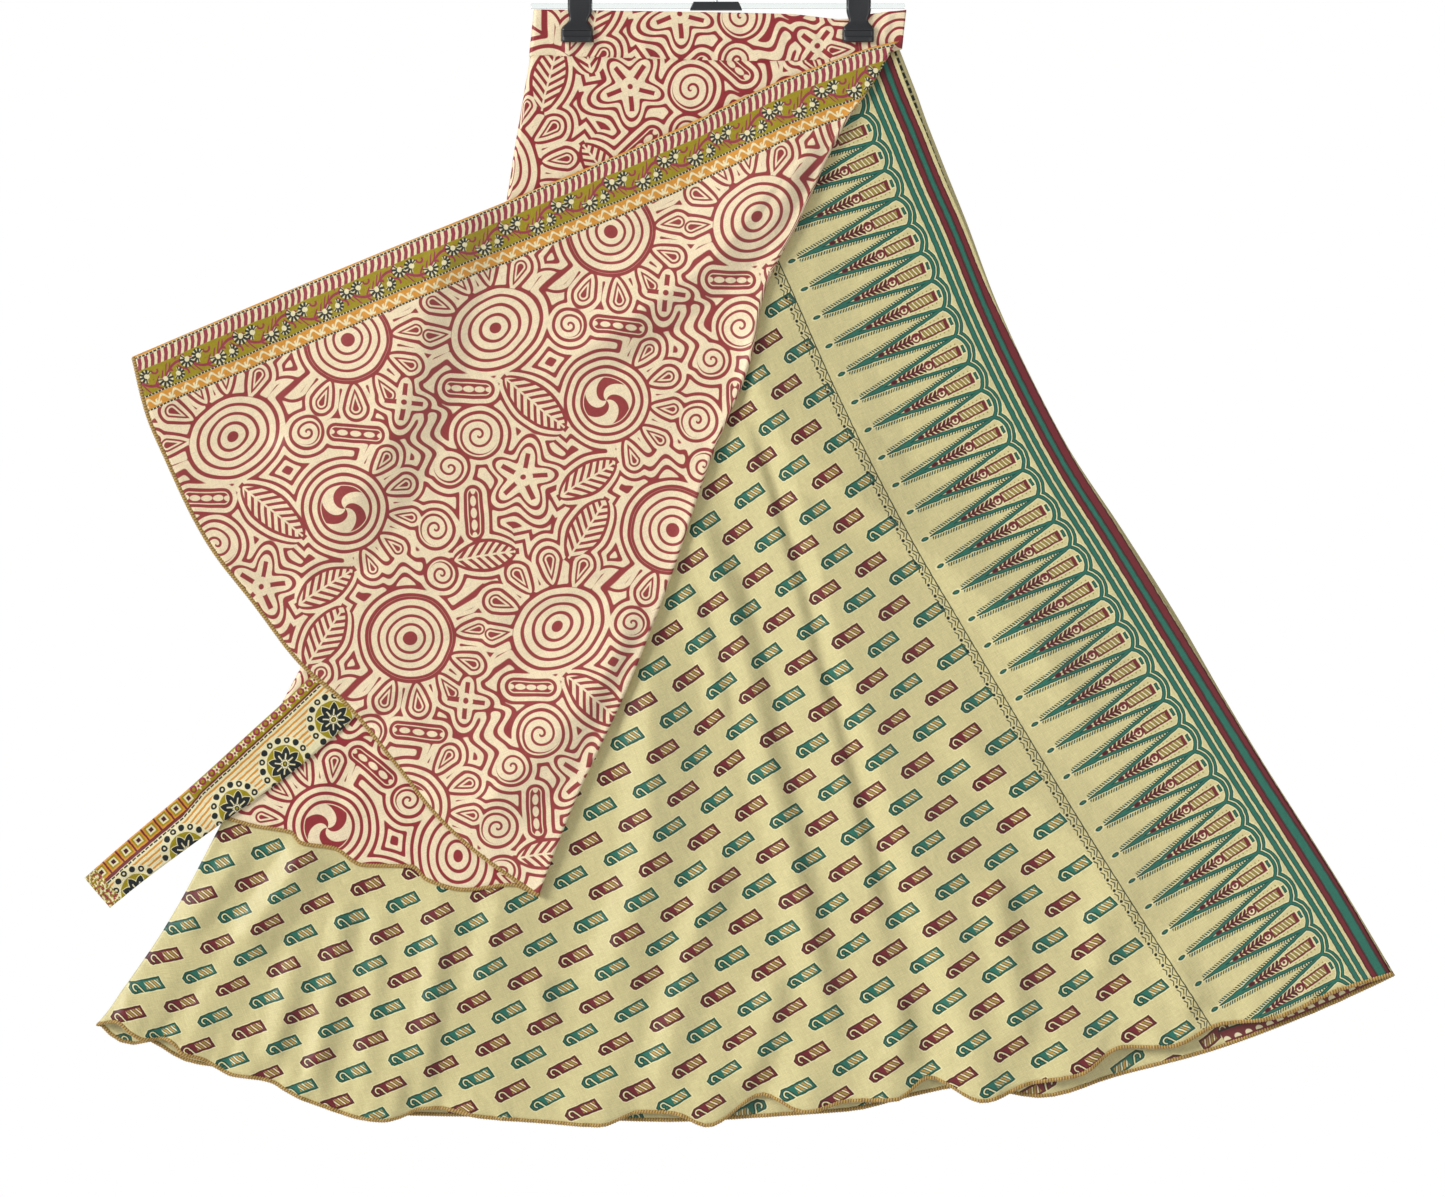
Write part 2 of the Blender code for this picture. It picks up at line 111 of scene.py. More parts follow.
# Lines of the cut: (across, down) places, and for backPeek, (down, how far the back shows).
sideFold = [
    (-150, 107), (-162, 176), (-174, 245), (-213, 364), (-271, 487), (-335, 602), (-403, 732),
    (-449, 818), (-506, 901),
]
openEdge = [
    (147, 107), (157, 134), (170, 165), (187, 207), (203, 243), (229, 308), (257, 368), (292, 434),
    (332, 497), (380, 575), (447, 684), (516, 793), (555, 860),
]
backPeek = [
    (107, 5.7), (134, 6.2), (165, 4.4), (207, 4.0), (243, 2.5), (308, 0.8), (400, 0.0), (500, 2.5),
    (560, 3.5), (640, 1.0), (740, 0.0), (860, 1.5),
]
# Hems of the long layer: across, down and how far out they swing.
frontHem = [
    (-506, 901, 0), (-494, 899, 3), (-479, 909, 4), (-468, 914, 2), (-453, 913, 0), (-444, 918, 3),
    (-437, 926, 4), (-424, 929, 2), (-410, 936, 0), (-396, 943, 2), (-379, 945, 3), (-365, 948, 1),
    (-353, 955, 2), (-339, 962, 4), (-323, 968, 2), (-306, 974, 3), (-291, 978, 5), (-272, 980, 6),
    (-258, 977, 3), (-244, 971, 1), (-230, 970, 1), (-193, 977, 4), (-144, 981, 1), (-95, 984, 6),
    (-62, 973, 0), (-35, 974, 3), (-7, 984, 6), (38, 959, -1), (73, 973, 7), (110, 964, 2),
    (147, 963, 6), (175, 945, 0), (218, 964, 8), (257, 950, 1), (297, 943, 5), (335, 920, 0),
    (368, 920, 4), (415, 901, 1), (452, 897, 4), (509, 874, 1), (555, 860, 0),
]
backHem = [
    (-506, 901, 0), (-496, 911, 3), (-480, 918, 4), (-463, 915, 2), (-456, 919, 1), (-446, 926, 3),
    (-430, 933, 4), (-410, 936, 2), (-380, 943, 3), (-340, 957, 1), (-250, 976, 5), (-150, 977, 1),
    (-40, 981, 5), (52, 976, 1), (112, 972, 5), (160, 960, 1), (208, 952, 4), (265, 961, 1),
    (328, 944, 5), (402, 924, 1), (480, 896, 4), (556, 861, 0),
]
shortHem = [
    (-403, 732), (-378, 739), (-349, 744), (-340, 753), (-314, 757), (-289, 771), (-250, 772),
    (-237, 783), (-205, 791), (-168, 787), (-148, 795),
]
shortBackHem = [
    (-403, 732), (-276, 773), (-148, 794), (0, 803), (110, 795), (215, 778), (310, 752), (400, 722),
    (456, 706),
]
flapFold = [
    (140, 111), (131, 127), (105, 164), (68, 242), (39, 302), (28, 356), (-4, 435), (-39, 537),
    (-73, 623), (-118, 720), (-147, 795), (-205, 975),
]
flapEdge = [(150, 95), (126, 101), (85, 115.5), (52, 128), (-33, 168), (-177, 229), (-341, 296),
            (-478, 354)]
flapHem = [
    (-147, 795), (-198, 759), (-230, 729), (-261, 690), (-303, 639), (-342, 604), (-378, 557),
    (-418, 504), (-452, 435), (-467, 399), (-478, 354),
]

# Ridges and troughs, charted: height, half width on either side of the line for a walk down it, and
# the (across, down) places that the line goes through.
frontFolds = [
    (4.5, 17, 92, [(18, 300), (38, 385), (57, 430), (79, 504), (100, 586), (120, 651), (139, 709),
                   (161, 774), (184, 840), (210, 914)]),
    (3.2, 34, 8, [(28, 422), (48, 487), (65, 545), (81, 610), (98, 668), (110, 717), (139, 840)]),
    (3.0, 18, 13, [(-9, 504), (16, 569), (32, 635), (44, 692), (61, 758), (77, 832), (98, 914)]),
    (1.6, 11, 9, [(-21, 553), (-5, 602), (7, 651)]),
    (3.2, 24, 40, [(-54, 619), (-54, 684), (-54, 758), (-70, 815), (-95, 881)]),
    (2.4, 18, 21, [(-1, 774), (-21, 840), (-38, 914), (-54, 963)]),
    (2.6, 20, 11, [(48, 869), (40, 914), (24, 955)]),
    (3.6, 20, 52, [(93, 453), (126, 479), (167, 508), (204, 537), (245, 574), (282, 614),
                   (307, 643)]),
    (3.2, 24, 40, [(204, 672), (241, 705), (282, 737), (319, 774), (348, 820)]),
    (2.8, 20, 15, [(229, 791), (241, 848), (251, 922)]), (2.2, 15, 18, [(311, 807), (315, 865)]),
    (2.0, 18, 18, [(372, 848), (397, 889)]), (2.0, 15, 12, [(147, 881), (155, 930)]),
    (3.0, 16, 24, [(-337, 762), (-362, 799), (-394, 840)]),
    (1.6, 13, 12, [(-390, 762), (-419, 803), (-440, 828)]),
    (1.9, 45, 75, [(-225, 790), (-235, 865), (-250, 947)]),
    (2.4, 15, 60, [(-177, 799), (-193, 881)]), (1.6, 12, 12, [(-144, 864), (-140, 905)]),
    (1.6, 10, 12, [(-306, 812), (-330, 947)]), (1.4, 12, 12, [(-275, 815), (-290, 955)]),
    (1.5, 12, 10, [(-226, 823), (-239, 959)]), (1.3, 11, 12, [(-345, 850), (-365, 930)]),
    (1.3, 10, 11, [(-304, 672), (-341, 734)]), (1.3, 10, 12, [(-271, 680), (-312, 746)]),
]
flapFolds = [
    (5.8, 100, 38, [(-212, 258), (-222, 280), (-238, 307), (-241, 348), (-255, 389), (-271, 430),
                    (-296, 471), (-325, 512)]),
    (5.0, 46, 26, [(69, 196), (44, 217), (16, 254), (-13, 282), (-54, 311), (-95, 340),
                   (-128, 358)]),
    (2.4, 14, 11, [(94, 176), (69, 217), (44, 258)]),
    (4.0, 50, 32, [(-62, 578), (-95, 619), (-128, 660), (-177, 709), (-202, 733)]),
    (-2.4, 10, 13, [(-435, 396), (-357, 426)]), (-1.6, 9, 9, [(-431, 455), (-382, 466)]),
    (-1.8, 12, 12, [(-419, 500), (-341, 545)]), (-1.6, 9, 11, [(-243, 594), (-185, 579)]),
    (-1.3, 9, 11, [(-169, 573), (-87, 553)]), (-1.4, 9, 9, [(-284, 527), (-333, 533)]),
    (-1.8, 8, 8, [(-300, 665), (-262, 690), (-238, 712)]),
    (-1.5, 10, 10, [(-290, 655), (-235, 628)]), (1.8, 7, 7, [(-296, 672), (-318, 715)]),
    (1.6, 7, 7, [(-278, 690), (-300, 735)]),
]
backFolds = [
    (3.0, 18, 30, [(-120, 300), (-180, 560), (-260, 900)]),
    (3.0, 24, 16, [(-20, 320), (-50, 640), (-60, 940)]),
    (3.2, 16, 30, [(90, 330), (110, 640), (150, 940)]),
    (2.6, 16, 24, [(170, 400), (250, 640), (330, 900)]),
    (1.8, 12, 14, [(-60, 700), (-110, 950)]), (1.6, 10, 14, [(210, 800), (240, 940)]),
    (1.6, 10, 12, [(-330, 780), (-380, 920)]), (1.6, 10, 10, [(20, 820), (40, 960)]),
]
# Straight lines that the short layer's print is mirrored in: the flap's fold and the side fold.
flapMirror, sideMirror = ((140, 111), (-147, 795)), ((-150, 107), (-403, 732))


def shareAcross(across, down):
    # How far a place is from the side fold, 0, to the open edge, 1.
    left, right = byDown(sideFold, down), byDown(openEdge, down)
    return (across - left) / (right - left)


def ridges(folds, across, down):
    # Sum of the folds: each is a round-topped tent across its line, max(1 - aside / width, 0),
    # with its own width on either side, and fades in and out over the ends of the line.
    total = np.zeros(np.shape(across))
    for height, leftWidth, rightWidth, places in folds:
        line = along(places, np.linspace(-0.15, 1.15, 66))
        aside, travel = fromLine(line, places[0][1], across, down)
        size = travelled(line[8:-8])[-1]
        width = np.where(aside < 0, leftWidth, rightWidth)
        ends = ease(travel / (0.3 * size) + 0.65) * ease((1.12 * size - travel) / (0.3 * size))
        total += height * np.maximum(1 - (np.hypot(aside, 2) - 2) / width, 0) * ends
    return total


def ripples(across, down, size, turn):
    # Uneven waves about one size long: three sines that lean across each other.
    a, b = across * cos(turn) + down * sin(turn), down * cos(turn) - across * sin(turn)
    k = 2 * pi / size
    return (np.sin(a * k + 1.3 * np.sin(b * k * 0.31)) + np.sin(a * k * 1.37 + b * k * 0.42 + 2)
            + np.sin(a * k * 0.71 - b * k * 0.23 + 4)) / 3


def waves(across, down, sets):
    # Sum of sets of ripples, each times its height.
    return sum(ripples(across, down, size, lean) * height for size, lean, height in sets)


def hollow(down):
    # Half the gap between the two walls, even steps wider from the waist to the hem.
    falls = np.clip((down - form["waistLevel"]) / (form["hemLevel"] - form["waistLevel"]), 0, 1)
    return (form["hollowAtWaist"] + (form["hollowAtHem"] - form["hollowAtWaist"]) * falls) / 2


def hemSwing(hem, across, down):
    # The hem's waves, as how far out they stand, dying away above the hem, and a small frill in
    # the last of them where the overlocking has stretched the edge.
    share = shareAcross(across, down)
    rows = [(float(shareAcross(a, d)), out) for a, d, out in hem]
    low = through([(float(shareAcross(a, d)), d) for a, d, _ in hem], share)
    reach, frillReach = form["hemWaveReach"], form["frillReach"]
    frill = waves(across, down, softWaves["frill"]) * ease((down - low + frillReach) / frillReach)
    return through(rows, share) * ease((down - low + reach) / reach) ** 2 + frill


def frontFolded(across, down):
    # The front's folds, which fade to a share of themselves where the flap covers them.
    fades, covered = form["coverFades"], form["coveredFolds"]
    bare = np.maximum(ease((across - byDown(flapFold, down)) / fades + 0.8),
                      ease((down - through(sorted(flapHem), across)) / fades + 0.8))
    return ridges(frontFolds, across, down) * (covered + (1 - covered) * bare)


def frontOut(across, down):
    # Front: half the hollow, the hem's swing, the folds, soft waves and puckers under the band.
    soft = waves(across, down, softWaves["front"])
    soft = soft * ease((down - form["waistLevel"]) / form["softFrom"])
    pucker = np.exp(-np.abs(down - form["puckerLevel"]) / form["puckerReach"])
    soft = soft + (1 + ripples(across, down, 15, 0)) * 0.4 * pucker
    return (hollow(down) + 0.5 + hemSwing(frontHem, across, down)
            + np.maximum(form["foldHeight"] * frontFolded(across, down) + soft, form["lowest"]))


def backOut(across, down):
    # Back: the same with its own folds and no puckers.
    soft = waves(across, down, softWaves["back"])
    soft = soft * ease((down - form["waistLevel"]) / form["softFrom"])
    return (hollow(down) + 0.5 + hemSwing(backHem, across, down)
            + np.maximum(ridges(backFolds, across, down) + soft, form["lowest"]))


def shortOut(across, down):
    # The short layer's front: one ply step further out than the long layer's.
    return frontOut(across, down) + form["plyStep"]


def flapFolded(across, down):
    # The flap's own folds, the swell along its fold, and how much of the folds shows: nothing at
    # the fold, and all of them a little way from it.
    beside = byDown(flapFold, down) - across
    shown = ease(beside / form["flapFoldFades"])
    swell = form["flapFoldSwell"] * np.exp(-np.abs(beside) / form["flapSwellReach"])
    swell = swell * ease((down - form["waistLevel"]) / form["swellFrom"])
    return ridges(flapFolds, across, down) * shown, swell, shown


def flapOut(across, down):
    # Above the short layer's front, and never lower than a flat flap would be.
    own, swell, shown = flapFolded(across, down)
    soft = (0.8 + waves(across, down, softWaves["flap"])) * shown
    return (shortOut(across, down) + 2 * form["plyStep"] + form["flapStandOff"] + swell
            + np.maximum(form["flapFoldHeight"] * own + soft, 0))


def leanOf(across, down, relief):
    # Lean of the cloth's normal over a relief in mm, (-slope across, 0, slope down), from the
    # grid's own steps: slope across = (hi dj - hj di) / (ai dj - aj di), and held below limit.
    ai, aj = np.gradient(across)
    di, dj = np.gradient(down)
    hi, hj = np.gradient(relief)
    area = ai * dj - aj * di
    area = np.where(np.abs(area) < 0.01, 0.01, area)
    lean = np.stack([(hj * di - hi * dj) / area, 0 * area, (hj * ai - hi * aj) / area], axis=-1)
    return lean / (1 + np.linalg.norm(lean, axis=-1, keepdims=True) / form["leanLimit"])


def fromLine(xy, zeroDown, across, down):
    # Distance in from a line of many points and length along it from the level zeroDown, by the
    # nearest point and the tangent there.
    way, travel = unit(np.gradient(xy, axis=0)), travelled(xy)
    travel -= travel[np.abs(xy[:, 1] - zeroDown).argmin()]
    place = np.stack([np.ravel(across), np.ravel(down)], axis=-1)
    nearest = np.concatenate([
        ((some[:, None] - xy[None]) ** 2).sum(-1).argmin(1) for some in np.array_split(place, 40)])
    gap = place - xy[nearest]
    inward = gap[:, 0] * way[nearest, 1] - gap[:, 1] * way[nearest, 0]
    onward = travel[nearest] + (gap * way[nearest]).sum(-1)
    return np.reshape(inward, np.shape(across)), np.reshape(onward, np.shape(across))


def fromStraight(line, across, down):
    # Distance in from the straight line through two points, length along it, and its way.
    (x0, d0), (x1, d1) = line
    wayX, wayD = unit(np.array([[x1 - x0, d1 - d0]], float))[0]
    dx, dz = across - x0, down - d0
    return dx * wayD - dz * wayX, dx * wayX + dz * wayD, (wayX, wayD)


def mirrored(line, across, down):
    # Places as far out from a straight line as they were in from it.
    inward, onward, (wayX, wayD) = fromStraight(line, across, down)
    x0, d0 = line[0]
    return x0 + onward * wayX - inward * wayD, d0 + onward * wayD + inward * wayX


longPlace = {"curve": (101.7, 0.361, 0.0002), "edgeShare": 0.86, "edgeFades": 220, "field": 165,
             "far": 350, "narrows": (0.00025, 352), "opens": (0.00024, 350), "rowBend": 0.00026}


def longPrint(across, down):
    # Print place on the long layer: in from the open edge and along it. Far from the edge it
    # follows a smoother curve than the edge itself, start + slope down + bend down down, its rows
    # bend and its columns lean.
    levels = np.linspace(-100, 1300, 700)
    start, slope, bend = longPlace["curve"]
    smooth = np.stack([start + slope * levels + bend * levels ** 2, levels], axis=-1)
    inward, onward = fromLine(smooth, 107, across, down)
    level = np.interp(onward, fromLine(smooth, 107, *smooth[::10].T)[1], smooth[::10, 1])
    edgeGap = byDown(openEdge, level) - np.interp(level, smooth[:, 1], smooth[:, 0])
    edgeGap = edgeGap * longPlace["edgeShare"]
    inward = -inward + edgeGap * np.exp(-np.clip(-inward, 0, None) / longPlace["edgeFades"])
    field, far = (np.clip(inward - longPlace[start], 0, None) for start in ("field", "far"))
    sway = ripples(across, down, 130, 0.4) * 2.8 * ease(field / 90) * ease((down - 300) / 400)
    (narrows, level), (opens, middle) = longPlace["narrows"], longPlace["opens"]
    return (inward - narrows * field * (onward - level),
            onward + longPlace["rowBend"] * far ** 2 + (onward - middle) * opens * field + sway)


def flapPrint(across, down):
    # Print place on the flap: in from the straight line between its upper edge's ends and along
    # it, and near the edge, in from the edge itself, which is the line plus its small bends.
    ends = flapEdge[0], flapEdge[-1]
    inward, onward, _ = fromStraight(ends, across, down)
    bend, place, _ = fromStraight(ends, *along(flapEdge, np.linspace(0, 1, 200)).T)
    near = np.exp(-np.clip(inward, 0, None) / 200)
    return inward - np.interp(onward, place, bend) * near, onward


def shortPrint(across, down):
    # The flap is the same cloth folded over, so the front's print is the flap's, mirrored.
    return flapPrint(*mirrored(flapMirror, across, down))


def shortBackPrint(across, down):
    # And the back's is the front's, mirrored in the side fold.
    return shortPrint(*mirrored(sideMirror, across, down))


def pointsOn(across, down, out):
    # Places in metres: (across, -out, -down).
    across, down, out = np.broadcast_arrays(across, down, out)
    return np.stack([across, -out, -down], axis=-1) * mm


def fan(left, right, knee, hem, out, count):
    # Plan of one stretch between two lines that run down it: equal shares of its width in each
    # row, and rows from the waist to the knee, the short layer's hem, and on to the long hem.
    def sharesOf(rows):
        return [(float((r[0] - left(r[1])) / (right(r[1]) - left(r[1]))), r[1]) for r in rows]

    shares = np.linspace(0, 1, count)
    waist = form["waistLevel"]
    high = through(bandSeam, left(waist) * (1 - shares) + right(waist) * shares) + form["seamGap"]
    middle, low = through(sharesOf(knee), shares), through(sharesOf(hem), shares)
    upper = np.linspace(0, 1, form["upperRows"])[:, None]
    lower = np.linspace(0, 1, form["lowerRows"])[1:, None]
    down = np.concatenate([high + (middle - high) * upper, middle + (low - middle) * lower])
    across = left(down) * (1 - shares) + right(down) * shares
    return across, down, pointsOn(across, down, out(across, down))


def roundFold(fromColumn, toColumn, bulge, steps):
    # Half-round fold between two columns, standing out to one side by bulge.
    middle, half = (fromColumn + toColumn) / 2, (fromColumn - toColumn) / 2
    sideways = np.stack([bulge, 0 * bulge, 0 * bulge], axis=-1)
    return np.stack([middle + half * cos(a) + sideways * sin(a)
                     for a in np.linspace(0, pi, steps)[1:-1]], axis=1)


def blendColumns(fromColumn, toColumn, steps):
    # Even steps between two columns, without the two themselves.
    shares = np.linspace(0, 1, steps)[1:-1]
    return np.stack([fromColumn * (1 - s) + toColumn * s for s in shares], axis=1)


def sideLine(down):
    # Where the walls end and the half-round side fold starts.
    return byDown(sideFold, down) + hollow(down) + 0.5


def foldLine(down):
    # Where the front goes under the flap's fold.
    return byDown(flapFold, down) - form["flapFoldInset"]


def openLine(down):
    # The front's open edge.
    return byDown(openEdge, down)


def backOpenLine(down):
    # The back's edge, which shows a little past the front's.
    return openLine(down) + through(backPeek, down)


def addObject(name, data):
    # A new object at the origin, linked into the scene.
    item = bpy.data.objects.new(name, data)
    bpy.context.scene.collection.objects.link(item)
    return item


def setPrint(mesh, places):
    # UV map "print": each corner of a face takes the place of the vertex that it stands on.
    corners = np.empty(len(mesh.loops), np.int32)
    mesh.loops.foreach_get("vertex_index", corners)
    mesh.uv_layers.new(name="print").data.foreach_set("uv", places[corners].ravel())


def addCloth(name, grid, prints, materials, wall, panels=0, lean=None):
    # Surface from a grid of points and its print places, thickened to both sides. panels gives
    # each column of faces its material; the reverse and the rim take the slots after them.
    index = np.arange(grid[..., 0].size).reshape(grid.shape[:2])
    faces = np.stack([index[:-1, :-1], index[1:, :-1], index[1:, 1:], index[:-1, 1:]], axis=-1)
    mesh = bpy.data.meshes.new(name)
    mesh.from_pydata(grid.reshape(-1, 3).tolist(), [], faces.reshape(-1, 4).tolist())
    mesh.polygons.foreach_set("material_index",
                              np.broadcast_to(panels, faces.shape[:2]).ravel().astype(np.int32))
    setPrint(mesh, prints.reshape(-1, 2) * mm)
    if lean is not None:
        tips = mesh.attributes.new("lean", "FLOAT_VECTOR", "POINT")
        tips.data.foreach_set("vector", lean.ravel())
    mesh.shade_smooth()
    item = addObject(name, mesh)
    for material in materials:
        mesh.materials.append(finishes[material])
    panelCount = int(np.max(panels)) + 1
    thick = item.modifiers.new("Cloth wall", "SOLIDIFY")
    thick.thickness, thick.offset, thick.use_rim = wall * mm, 0, True
    thick.material_offset = panelCount if len(materials) > panelCount else 0
    thick.material_offset_rim = thick.material_offset
    return item


def fill(tree, node, inputs):
    # Puts a number, a colour, another node's socket or a Signal into each socket that is named.
    for place, value in inputs.items():
        value = value.socket if isinstance(value, Signal) else value
        if isinstance(value, bpy.types.NodeSocket):
            tree.links.new(value, node.inputs[place])
        else:
            node.inputs[place].default_value = value
    return node


def addNode(tree, kind, inputs=None, **settings):
    # A new node with its settings made and its sockets filled.
    node = tree.nodes.new("ShaderNode" + kind)
    for setting, value in settings.items():
        setattr(node, setting, value)
    return fill(tree, node, inputs or {})


class Signal:
    # A number that varies over a surface: each operation on it adds one node to its material.
    def __init__(self, tree, socket):
        self.tree, self.socket = tree, socket

    def math(self, operation, *others, clamped=False, turned=False):
        values = (*others, self) if turned else (self, *others)
        node = addNode(self.tree, "Math", dict(enumerate(values)), operation=operation,
                       use_clamp=clamped)
        return Signal(self.tree, node.outputs[0])

    def each(self, operation, others):
        for other in others:
            self = self.math(operation, other)
        return self

    def __add__(self, other): return self.math("ADD", other)
    def __sub__(self, other): return self.math("SUBTRACT", other)
    def __rsub__(self, other): return self.math("SUBTRACT", other, turned=True)
    def __mul__(self, other): return self.math("MULTIPLY", other)
    def __truediv__(self, other): return self.math("DIVIDE", other)
    def __neg__(self): return self.math("MULTIPLY", -1.0)
    def __abs__(self): return self.math("ABSOLUTE")
    def least(self, *others): return self.each("MINIMUM", others)
    def most(self, *others): return self.each("MAXIMUM", others)
    def pingpong(self, reach): return self.math("PINGPONG", reach)
    def wrap(self, half): return self.math("WRAP", half, -half)
    def floor(self): return self.math("FLOOR")
    def nearest(self): return self.math("ROUND")
    def sine(self): return self.math("SINE")
    def power(self, n): return self.math("POWER", n)
    def angle(self, other): return self.math("ARCTAN2", other)
    def clamp(self): return self.math("MULTIPLY", 1.0, clamped=True)


def length(x, y):
    # Distance from the origin, the root of x x + y y.
    join = addNode(x.tree, "CombineXYZ", {0: x, 1: y})
    size = addNode(x.tree, "VectorMath", {0: join.outputs[0]}, operation="LENGTH")
    return Signal(x.tree, size.outputs["Value"])


def noise(x, y, detail=2.0):
    # Soft noise, from 0 to 1 and about 0.5, at a place whose unit is one blotch.
    join = addNode(x.tree, "CombineXYZ", {0: x, 1: y})
    cloud = addNode(x.tree, "TexNoise", {"Scale": 1.0, "Detail": detail, "Vector": join.outputs[0]})
    return Signal(x.tree, cloud.outputs["Fac"])


def linear(colour):
    # A screen colour, 0 to 255, as the shader's own.
    share = np.array(colour) / 255
    return (*np.where(share < 0.0405, share / 12.92, ((share + 0.055) / 1.055) ** 2.4), 1.0)


def mixed(tree, share, first, second):
    # Colour that goes from the first to the second by a share.
    return addNode(tree, "Mix", {"Factor": share, 6: first, 7: second}, data_type="RGBA").outputs[2]


def rotated(x, y, degrees):
    # Place turned about the origin: (x cos + y sin, y cos - x sin).
    c, s = cos(radians(degrees)), sin(radians(degrees))
    return x * c + y * s, y * c - x * s


doodleCell = {"along": 202.0, "rows": 213.0, "shift": 40.0, "blend": 3.0, "grow": 1.15,
              "lines": (1.0, 6.5, 12.2), "lineHalf": 1.0, "restFrom": 16.5}


def placed(u, v, x, y, turn=0.0):
    # Place relative to the nearest copy of a motif at (x, y), turned by some degrees.
    row = ((u - y) / doodleCell["rows"]).nearest()
    ly = u - y - row * doodleCell["rows"]
    lx = (v - x - row * doodleCell["shift"]).wrap(doodleCell["along"] / 2)
    return rotated(lx, ly, turn)


# The doodle's motifs: each gives the distance to its outline and to the lines inside it.
def rings(u, v, x, y, turn, aspect, rim, spacing, first):
    # Round or oval medallion: evenly spaced rings about a filled middle.
    a, b = placed(u, v, x, y, turn)
    r = length(a / aspect, b)
    ink = ((r - first).pingpong(spacing / 2) - 0.8).least(r - first + spacing - 0.6)
    return r - rim, ink


def swirl(u, v, x, y, rim, arms):
    # Medallion of turning arms, the sine of their angle plus the radius, inside two rings.
    a, b = placed(u, v, x, y)
    r = length(a, b)
    turned = b.angle(a) * arms + r * 0.32
    core = (turned.sine() * 2.6 + 0.6).most(r - rim + 12.5)
    ink = core.least(abs(r - (rim - 10.6)) - 0.9, abs(r - (rim - 4.8)) - 1.0)
    return r - rim, ink


def petals(u, v, x, y, turn, rim, count, spread, long, wide):
    # Fan of drop-shaped petals round part of a medallion.
    a, b = placed(u, v, x, y, turn)
    r, angle = length(a, b), b.angle(a)
    step = radians(spread) / count
    near = (angle + (step / 2 if count % 2 == 0 else 0)).wrap(step / 2)
    out, aside = r - rim, r * near
    body = long - wide
    shape = length(aside, (out - body).most(0.0)) - (out / body).clamp().power(0.6) * wide
    shape = shape.most(-out, (abs(angle) - radians(spread) / 2) * 30)
    inner = (abs(shape + 3.4) - 0.5).least(shape + 5.6 if wide > 6.4 else 9.0)
    return shape, inner


def spiral(u, v, x, y, rim, pitch, way):
    # Arm where the radius, less the angle's share of a pitch, is near a whole pitch.
    a, b = placed(u, v, x, y)
    r = length(a, b)
    arm = (r - b.angle(a) * (way * pitch / (2 * pi))).pingpong(pitch / 2) - 0.7
    return r - rim, arm.most(r - rim + 1.6)


def leaf(u, v, x, y, turn, long, wide):
    # Half width of the sine of its length to the power 0.7, with slanting barbs.
    a, b = placed(u, v, x, y, turn)
    t = (a / long + 0.5).clamp()
    shape = (abs(b) - (t * pi).sine().power(0.7) * wide).most(abs(a) - long / 2)
    barbs = (a + abs(b) * 0.9).pingpong(3.1) - 1.25
    return shape, barbs.most(0.9 - abs(b))


def pod(u, v, x, y, turn, long, beads):
    # Round-ended bar with a row of pale beads.
    a, b = placed(u, v, x, y, turn)
    middle = length((abs(a) - long / 2).most(0.0), b)
    step = long / beads
    bead = length((a + (step / 2 if beads % 2 == 0 else 0)).wrap(step / 2) * 0.55, b) - 2.3
    return middle - 4.6, (-bead).most(middle - 3.4)


def lobes(u, v, x, y, turn, count, rim, depth):
    # Round-lobed flower with one line inside its outline and a drop in each lobe.
    a, b = placed(u, v, x, y, turn)
    r, angle = length(a, b), b.angle(a)
    wave = (angle * count + pi / 2).sine()
    shape = (r - rim - wave * depth) * 0.8
    near = angle.wrap(pi / count)
    drop = (abs(r * near) - 1.5).most(abs(r - rim * 0.72) - rim * 0.3)
    return shape, drop.least(r - 1.8)


def ribbon(u, v, x, y, turn, long, bends, swing):
    # Waving band with round ends.
    a, b = placed(u, v, x, y, turn)
    middle = (a * (2 * pi * bends / long)).sine() * swing
    return length((abs(a) - long / 2).most(0.0), (b - middle) * 0.72) - 2.6, None


# One cell of the doodle: each motif, its place across and along, and its sizes.
motifs = [
    (rings, 40, 48, 0, 1.0, 30, 6.2, 10.2), (rings, 142, 80, 12, 1.28, 26, 6.1, 8.6),
    (swirl, 88, 158, 29, 3), (petals, 40, 48, 105, 32.5, 5, 150, 24, 7.4),
    (petals, 142, 80, -75, 30, 5, 150, 25, 7.6), (petals, 88, 158, 150, 31.5, 5, 145, 23, 7.0),
    (spiral, 182, 146, 15.5, 6.4, 1), (spiral, 210, 160, 12.5, 5.8, -1),
    (spiral, 92, 98, 10.5, 5.4, -1), (spiral, 34, 196, 13, 5.8, 1), (leaf, 136, 140, -62, 56, 11),
    (leaf, 96, 24, 35, 50, 11), (leaf, 122, 204, 10, 46, 10), (pod, 60, 112, -28, 28, 3),
    (pod, 206, 196, 70, 26, 3), (lobes, 164, 186, 20, 5, 17, 5.5),
    (lobes, 20, 104, 60, 4, 13, 4.5), (ribbon, 70, 208, -15, 34, 1.5, 4),
    (leaf, 170, 14, -14, 44, 9.5), (spiral, 204, 14, 10.5, 5.4, 1), (pod, 176, 113, -25, 24, 3),
    (ribbon, 12, 140, 80, 40, 1.5, 4),
]


def doodle(u, v):
    # Each motif draws its own lines inside its outline, and lines at even distances from the
    # nearest outline fill what is left between them.
    shapes = [motif(u, v, *values) for motif, *values in motifs]
    first, *others = [shape.most(lines) for shape, lines in shapes if lines is not None]
    nearest = shapes[0][0]
    for shape, _ in shapes[1:]:
        nearest = nearest.math("SMOOTH_MIN", shape, doodleCell["blend"])
    between = [abs(nearest - far) - doodleCell["lineHalf"] for far in doodleCell["lines"]]
    return first.least(*others, *between, doodleCell["restFrom"] - nearest)


